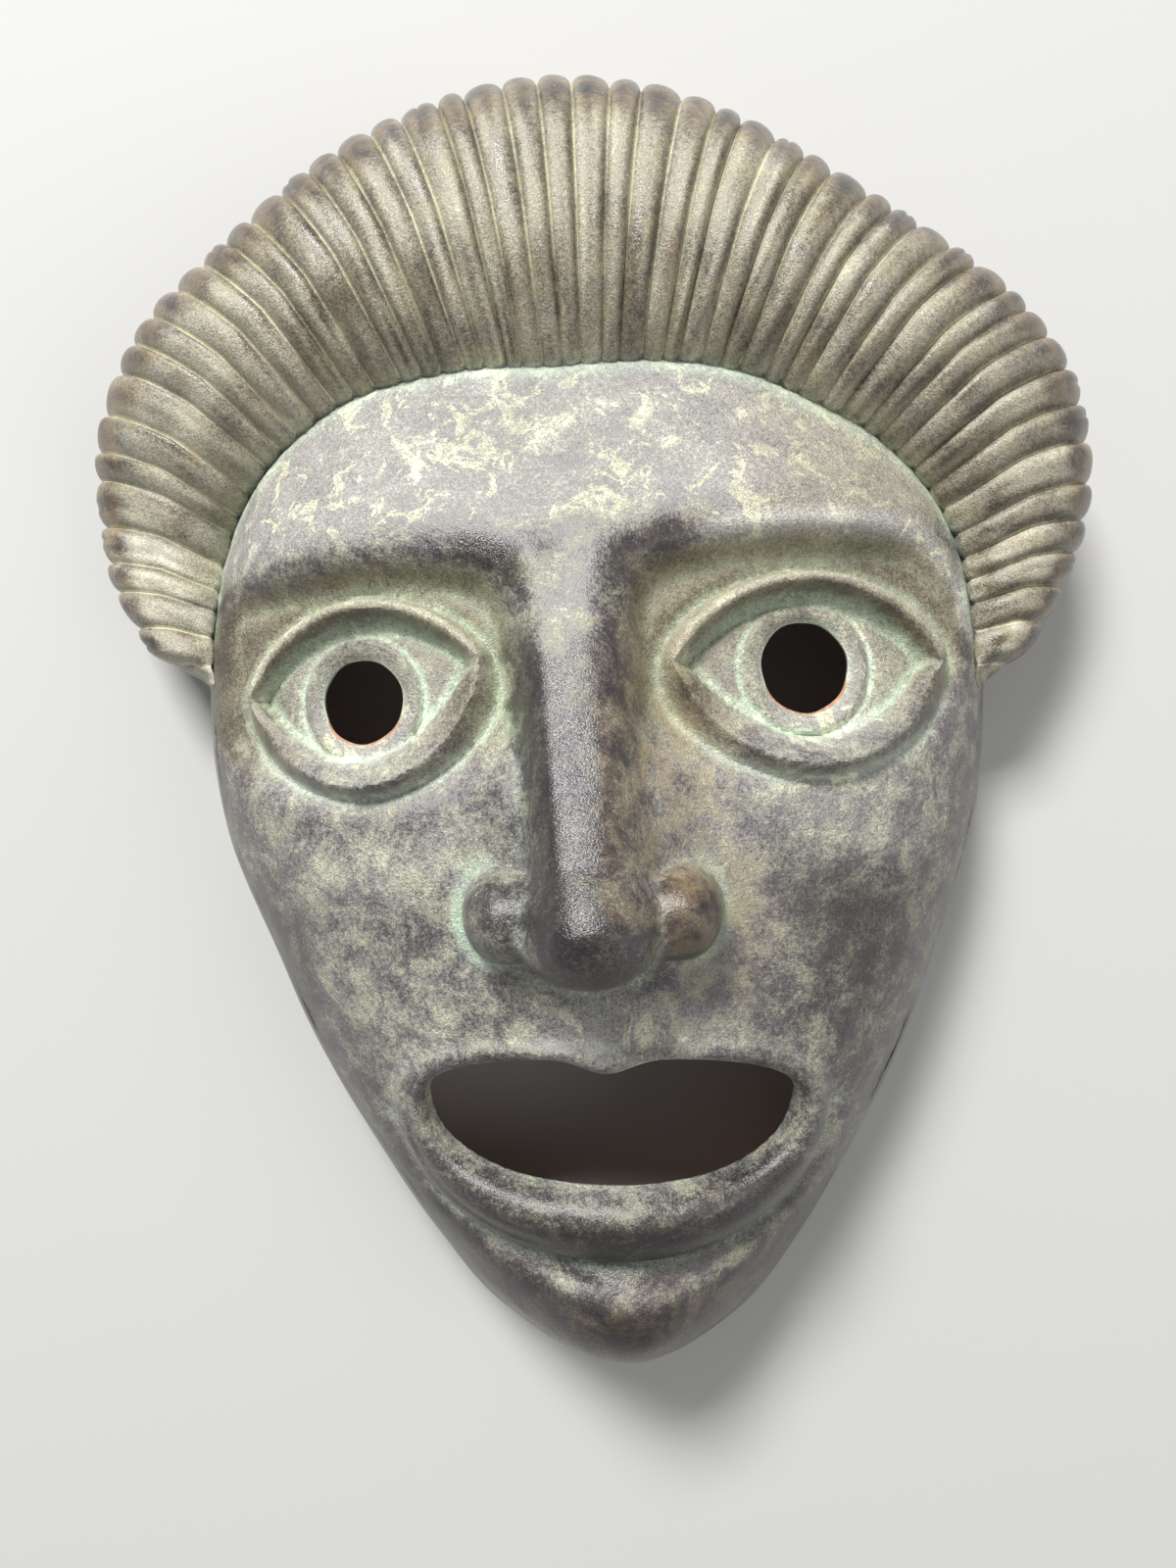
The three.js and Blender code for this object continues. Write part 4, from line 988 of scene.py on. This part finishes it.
def build_shell():
    """The whole mask: face, strip of hair and jaw, rim, inside and the walls of the three holes."""
    shell = Shell()
    angle, phase, lock, coarse = hair_columns()
    places = ((angle + HAIR_END + 360) % 360) / 360
    relief = ReliefMap()

    def masks_of(x, y):
        return face_masks(relief, x, y)

    def strip(station, chosen=slice(None)):
        a, p, k = angle[chosen], phase[chosen], lock[chosen]
        s = np.full(a.shape, float(station))
        lift, groove = lock_relief(p, k, s)
        points = column_points(a, s, lift)
        points[:, 2] += 0.15 * value_noise(points, 9, 7) * (station < 100)
        return points, groove

    edge_points, _ = strip(-HAIR_FRONT, coarse)
    edge = edge_points[:, :2]
    edge_heights = face_height(edge[:, 0], edge[:, 1], True) - 0.5 * (np.abs(angle[coarse]) < HAIR_END)
    holes = [pupil_loop(eye) for eye in EYES] + [mouth_loop(MOUTH_SIDES)[::-1]]
    flares = [pupil_loop(eye, PUPIL_FLARE) for eye in EYES]
    flares.append(mouth_loop(MOUTH_SIDES, MOUTH_FLARE, MOUTH_FLARE, MOUTH_FLARE)[::-1])

    x, y, i, j = lattice(FINE, edge.min(axis=0), edge.max(axis=0))
    inside = loop_distance(edge, x, y) > 0
    x, y, i, j = x[inside], y[inside], i[inside], j[inside]
    detailed = relief.read(relief.detail, x, y) > relief.DETAIL_LIMIT
    fine = detailed | ((i % 2 == 0) & (j % 2 == 0))
    free = np.c_[x, y][fine]
    face_loops = sheet([edge] + holes, free, lambda a, b: face_height(a, b, True), True, shell,
                       masks_of, edge_heights)

    rows, row_places = [face_loops[0]], [places[coarse]]
    streaks = np.random.default_rng(31).uniform(-1, 1, LOCKS + 1)
    on_hair = (np.abs(angle) < HAIR_END - 1) * 1.0
    for station in STATIONS:
        points, groove = strip(station)
        face = masks_of(points[:, 0], points[:, 1])
        rows.append(shell.add(points, hair=on_hair, groove=groove * on_hair,
                              **hair_masks(face, angle, phase, lock, station, streaks)))
        row_places.append(places)
    end, _ = strip(RIM_STATION)
    outward = end[:, :2] - np.array(MIDDLE)
    outward /= np.linalg.norm(outward, axis=1, keepdims=True)
    for height, inset in RIM_ROUNDING:
        ring = np.c_[end[:, :2] - outward * inset, np.full(len(end), height)]
        rows.append(shell.add(ring, hair=on_hair, tone=0.35, olive=0.4, bare=0.0 if height > 0.3 else 0.7))
        row_places.append(places)
    shell.join(rows[1], rows[0], row_places[1], row_places[0])
    shell.join_grid(np.array(rows[1:]))

    inner = inset_radius(end[:, :2], WALL)
    turn = -HAIR_END + 360 * np.arange(INSIDE_COLUMNS) / INSIDE_COLUMNS
    turn = np.where(turn > 180, turn - 360, turn)

    def inner_row(inset, level, drop=0.0):
        px, py = point_at(turn, inner(turn) - inset)
        heights = inside_height(px, py) * level if level > 0 else np.full(px.shape, drop)
        return np.c_[px, py, heights]

    bottom = shell.add(inner_row(-0.9, 0, 0.0), bare=0.8)
    foot = shell.add(inner_row(0.0, 0, 0.9), bare=1.0)
    walls = [shell.add(inner_row(inset, level), bare=1.0) for inset, level in INSIDE_WALL_ROWS]
    top = inner_row(2.0, 1)
    x, y, _, _ = lattice(INSIDE_GRID, edge.min(axis=0) - 40, edge.max(axis=0) + 60)
    inside_loops = sheet([top[:, :2]] + flares, np.c_[x, y], inside_height, False, shell,
                         inside_masks, top[:, 2])
    inner_places = np.arange(INSIDE_COLUMNS) / INSIDE_COLUMNS
    shell.join(bottom, rows[-1], inner_places, places)
    shell.join_grid(np.array([bottom, foot, *walls, inside_loops[0]]))
    for outer_hole, inner_hole in zip(face_loops[1:], inside_loops[1:]):
        wall_of_hole(shell, outer_hole, inner_hole)
    return shell


def wall_of_hole(shell, outer_hole, inner_hole):
    """The wall's thickness, seen in an opening, between its outer and inner edges."""
    points = np.vstack(shell.points)
    bare = np.concatenate(shell.masks["bare"])[outer_hole]
    tone = np.concatenate(shell.masks["tone"])[outer_hole]
    start, end = points[outer_hole], points[inner_hole]
    rows = [outer_hole]
    for share, out in HOLE_WALL_ROWS:
        wall = np.c_[lerp(start[:, :2], end[:, :2], out), lerp(start[:, 2], end[:, 2], share)]
        rows.append(shell.add(wall, tone=tone, bare=bare * (1 - share), olive=0.3))
    rows.append(inner_hole)
    shell.join_grid(np.array(rows))


def make_object(shell):
    points = np.vstack(shell.points)
    centre = (points.max(axis=0) + points.min(axis=0)) / 2
    shift = np.array([centre[0], centre[1], 0.0])
    mesh = bpy.data.meshes.new("theatre_mask")
    mesh.from_pydata(((points - shift) * MM).tolist(), [], [tuple(map(int, f)) for f in shell.faces])
    for name in MASKS:
        layer = mesh.attributes.new(name, "FLOAT", "POINT")
        layer.data.foreach_set("value", np.concatenate(shell.masks[name]).astype(np.float32))
    mesh.shade_smooth()
    mesh.set_sharp_from_angle(angle=math.radians(60))
    piece = bpy.data.objects.new("theatre_mask", mesh)
    bpy.context.collection.objects.link(piece)
    return piece, shift


shell = build_shell()
mask, carving_shift = make_object(shell)


# Material

MM_PER_METRE = 1000.0


class Nodes:
    """Short names for building a node tree."""

    def __init__(self, name):
        self.material = bpy.data.materials.new(name)
        self.material.use_nodes = True
        self.tree = self.material.node_tree
        self.shader = self.tree.nodes["Principled BSDF"]
        place = self.node("TexCoord", {}).outputs["Object"]
        self.place = self.node("VectorMath", {0: place, "Scale": MM_PER_METRE}, operation="SCALE").outputs[0]

    def put(self, value, socket):
        if isinstance(value, (int, float)):
            socket.default_value = value
        elif isinstance(value, tuple):
            socket.default_value = (*value, 1.0)
        else:
            self.tree.links.new(value, socket)

    def node(self, kind, inputs, **settings):
        node = self.tree.nodes.new("ShaderNode" + kind)
        for name, value in settings.items():
            setattr(node, name, value)
        for key, value in inputs.items():
            self.put(value, node.inputs[key])
        return node

    def noise(self, size, detail, roughness, warp=0.0):
        inputs = {"Vector": self.place, "Scale": 1.0 / size, "Detail": detail, "Roughness": roughness,
                  "Distortion": warp}
        return self.node("TexNoise", inputs).outputs["Fac"]

    def math(self, operation, a, b):
        return self.node("Math", {0: a, 1: b}, operation=operation).outputs[0]

    def add(self, a, b):
        return self.math("ADD", a, b)

    def times(self, a, b):
        return self.math("MULTIPLY", a, b)

    def less(self, a, b):
        return self.math("SUBTRACT", a, b)

    def most(self, a, b):
        return self.math("MAXIMUM", a, b)

    def step(self, value, low, high, out_low=0.0, out_high=1.0):
        inputs = {"Value": value, "From Min": low, "From Max": high, "To Min": out_low, "To Max": out_high}
        return self.node("MapRange", inputs, interpolation_type="SMOOTHSTEP").outputs["Result"]

    def mix(self, share, a, b):
        return self.node("Mix", {0: share, 6: a, 7: b}, data_type="RGBA").outputs[2]

    def ramp(self, value, places, colours):
        node = self.node("ValToRGB", {0: value})
        elements = node.color_ramp.elements
        while len(elements) < len(places):
            elements.new(0.5)
        for element, place, colour in zip(elements, places, colours):
            element.position = place
            element.color = (*colour, 1.0)
        return node.outputs[0]

    def attribute(self, name):
        return self.node("Attribute", {}, attribute_name=name).outputs["Fac"]

    def bump(self, height, distance, **normal):
        inputs = {"Height": height, "Distance": distance, "Strength": BUMP_STRENGTH, **normal}
        return self.node("Bump", inputs).outputs["Normal"]


# Colours of the coats by tone
TONES = (0.0, 0.26, 0.42, 0.56, 0.70, 0.84, 1.0)
LILAC = ((0.015, 0.012, 0.014), (0.048, 0.041, 0.047), (0.125, 0.115, 0.130), (0.255, 0.245, 0.258),
         (0.42, 0.408, 0.405), (0.57, 0.555, 0.54), (0.72, 0.70, 0.66))
CREAM = ((0.022, 0.019, 0.015), (0.066, 0.060, 0.048), (0.155, 0.152, 0.118), (0.29, 0.295, 0.23),
         (0.46, 0.47, 0.36), (0.66, 0.66, 0.50), (0.78, 0.78, 0.62))
OLIVE = ((0.022, 0.017, 0.013), (0.070, 0.058, 0.038), (0.160, 0.139, 0.090), (0.272, 0.248, 0.170),
         (0.42, 0.395, 0.28), (0.59, 0.565, 0.40), (0.73, 0.71, 0.52))
VERDIGRIS_TONES = (0.2, 0.7, 1.0)
VERDIGRIS = ((0.17, 0.24, 0.18), (0.42, 0.58, 0.43), (0.58, 0.74, 0.56))
OCHRE = (0.31, 0.21, 0.11)
ORANGE = (0.42, 0.20, 0.10)
CLAY_DARK = (0.42, 0.20, 0.12)
CLAY_PALE = (0.56, 0.32, 0.20)
BUMP_STRENGTH = 0.6
SKIN_BUMP = 0.00035
GRAIN_BUMP = 0.00022
SPECULAR = 0.75


def patina_material():
    n = Nodes("patinated_terracotta")
    masks = {name: n.attribute(name) for name in MASKS}
    hair = masks["hair"]

    # Noises by the size of their features in millimetres
    grain = n.noise(0.36, 2.0, 0.7)
    speck = n.noise(0.95, 3.0, 0.75)
    patch = n.noise(6.5, 5.0, 0.70, 0.4)
    island = n.noise(7.0, 6.0, 0.70, 0.9)
    cloud = n.noise(26.0, 3.0, 0.5, 0.3)

    def spread(value, amount):
        return n.times(n.less(value, 0.5), amount)

    def share_left(value, amount):
        return n.less(1.0, n.times(value, amount))

    # Cream paint lies in patches over lilac-brown: crisp islands where it is pale, soft elsewhere
    pale = n.step(masks["tone"], 0.58, 0.74)
    soft = n.step(n.add(patch, spread(speck, 0.30)), 0.36, 0.68)
    crisp = n.step(n.add(island, spread(speck, 0.06)), 0.535, 0.58)
    cover = n.add(n.times(crisp, pale), n.times(soft, n.less(1.0, pale)))

    # How light each place is: the mask's tone, which holds painted light and shade besides the patina,
    # broken up by patches, clouds, specks and grain
    patchy = n.times(share_left(hair, 0.55), share_left(masks["olive"], 0.5))
    blotches = n.add(spread(patch, 0.45), spread(cover, 0.17))
    tone = n.add(masks["tone"], n.times(blotches, patchy))
    for noise, amount in ((cloud, 0.20), (speck, 0.48), (grain, 0.80)):
        tone = n.add(tone, spread(noise, amount))
    groove = n.step(n.add(masks["groove"], spread(patch, 0.9)), 0.40, 0.90)
    tone = n.add(tone, n.times(groove, 0.30))
    tone = n.add(tone, n.times(masks["mint"], 0.14))
    lilac, cream, olive = (n.ramp(tone, TONES, colours) for colours in (LILAC, CREAM, OLIVE))
    colour = n.mix(masks["olive"], n.mix(cover, lilac, cream), olive)

    # Verdigris green in the hollows and the grooves
    broken = n.step(n.add(n.times(patch, 0.6), n.times(speck, 0.4)), 0.36, 0.60)
    mint = n.times(masks["mint"], n.add(n.times(broken, 0.6), 0.3))
    mint = n.most(mint, n.times(groove, n.times(broken, 0.22)))
    colour = n.mix(mint, colour, n.ramp(tone, VERDIGRIS_TONES, VERDIGRIS))

    # Ochre and orange where the clay shines through
    warm = n.times(masks["ochre"], n.step(patch, 0.36, 0.62))
    colour = n.mix(n.times(warm, 0.50), colour, OCHRE)
    fleck = n.step(n.noise(2.4, 3.0, 0.7), 0.66, 0.72)
    fleck = n.times(fleck, n.most(n.times(masks["ochre"], 0.8), 0.10))
    colour = n.mix(fleck, colour, ORANGE)

    # Bare clay inside and at the edges of the pupils and the rim
    clay = n.mix(n.step(speck, 0.35, 0.65), CLAY_DARK, CLAY_PALE)
    bare = n.step(n.add(masks["bare"], spread(speck, 0.5)), 0.35, 0.55)
    n.put(n.mix(bare, colour, clay), n.shader.inputs["Base Color"])

    # Dark places and hair are glossier, bare clay is dull
    rough = n.step(tone, 0.15, 0.75, 0.29, 0.55)
    rough = n.less(rough, n.times(hair, 0.12))
    rough = n.add(rough, spread(speck, 0.12))
    rough = n.most(rough, n.times(bare, 0.85))
    n.put(rough, n.shader.inputs["Roughness"])
    n.shader.inputs["Specular IOR Level"].default_value = SPECULAR

    relief = n.add(n.times(speck, 0.6), n.times(n.step(tone, 0.5, 0.9), 0.5))
    relief = n.times(relief, share_left(hair, 0.5))
    normal = n.bump(grain, GRAIN_BUMP, Normal=n.bump(relief, SKIN_BUMP))
    n.tree.links.new(normal, n.shader.inputs["Normal"])
    return n.material


mask.data.materials.append(patina_material())
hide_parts("mask")
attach(mask, "root")


# Stage, light and camera

FLOOR_SIZE = 3.0
FLOOR_COLOUR = (0.50, 0.50, 0.49)
FLOOR_ROUGHNESS = 0.8
WORLD_COLOUR = (0.95, 0.97, 1.0, 1.0)
WORLD_STRENGTH = 0.35
CAMERA_HEIGHT = 265.0
FOCAL_PIXELS = 1180.0
PICTURE_HEIGHT = 1600.0
SENSOR = 36.0


def make_floor():
    half = FLOOR_SIZE / 2
    mesh = bpy.data.meshes.new("floor")
    corners = [(-half, -half, 0), (half, -half, 0), (half, half, 0), (-half, half, 0)]
    mesh.from_pydata(corners, [], [(0, 1, 2, 3)])
    floor = bpy.data.objects.new("floor", mesh)
    bpy.context.collection.objects.link(floor)
    n = Nodes("pale_floor")
    n.put(FLOOR_COLOUR, n.shader.inputs["Base Color"])
    n.put(FLOOR_ROUGHNESS, n.shader.inputs["Roughness"])
    mesh.materials.append(n.material)


def area_light(name, place, aim, size, power, colour):
    light = bpy.data.lights.new(name, "AREA")
    light.shape = "RECTANGLE"
    light.size, light.size_y = size
    light.energy = power
    light.color = colour
    lamp = bpy.data.objects.new(name, light)
    lamp.location = place
    lamp.rotation_euler = (Vector(aim) - Vector(place)).to_track_quat("-Z", "Y").to_euler()
    bpy.context.collection.objects.link(lamp)


def make_camera():
    data = bpy.data.cameras.new("camera")
    data.sensor_fit = "VERTICAL"
    data.sensor_height = SENSOR
    data.lens = FOCAL_PIXELS / PICTURE_HEIGHT * SENSOR
    data.clip_start = 0.01
    camera = bpy.data.objects.new("camera", data)
    camera.location = (-carving_shift[0] * MM, -carving_shift[1] * MM, CAMERA_HEIGHT * MM)
    bpy.context.collection.objects.link(camera)
    bpy.context.scene.camera = camera


make_floor()
area_light("key", place=(-0.50, 1.15, 1.35), aim=(0, 0, 0.04), size=(0.6, 0.45), power=52.0,
           colour=(1.0, 0.99, 0.97))
area_light("fill", place=(1.2, -0.3, 1.2), aim=(0, 0, 0.03), size=(1.0, 1.0), power=7.0,
           colour=(1.0, 0.97, 0.92))
world = bpy.data.worlds.new("studio")
bpy.context.scene.world = world
world.use_nodes = True
background = world.node_tree.nodes["Background"]
background.inputs["Color"].default_value = WORLD_COLOUR
background.inputs["Strength"].default_value = WORLD_STRENGTH
bpy.context.scene.view_settings.view_transform = "Standard"
make_camera()
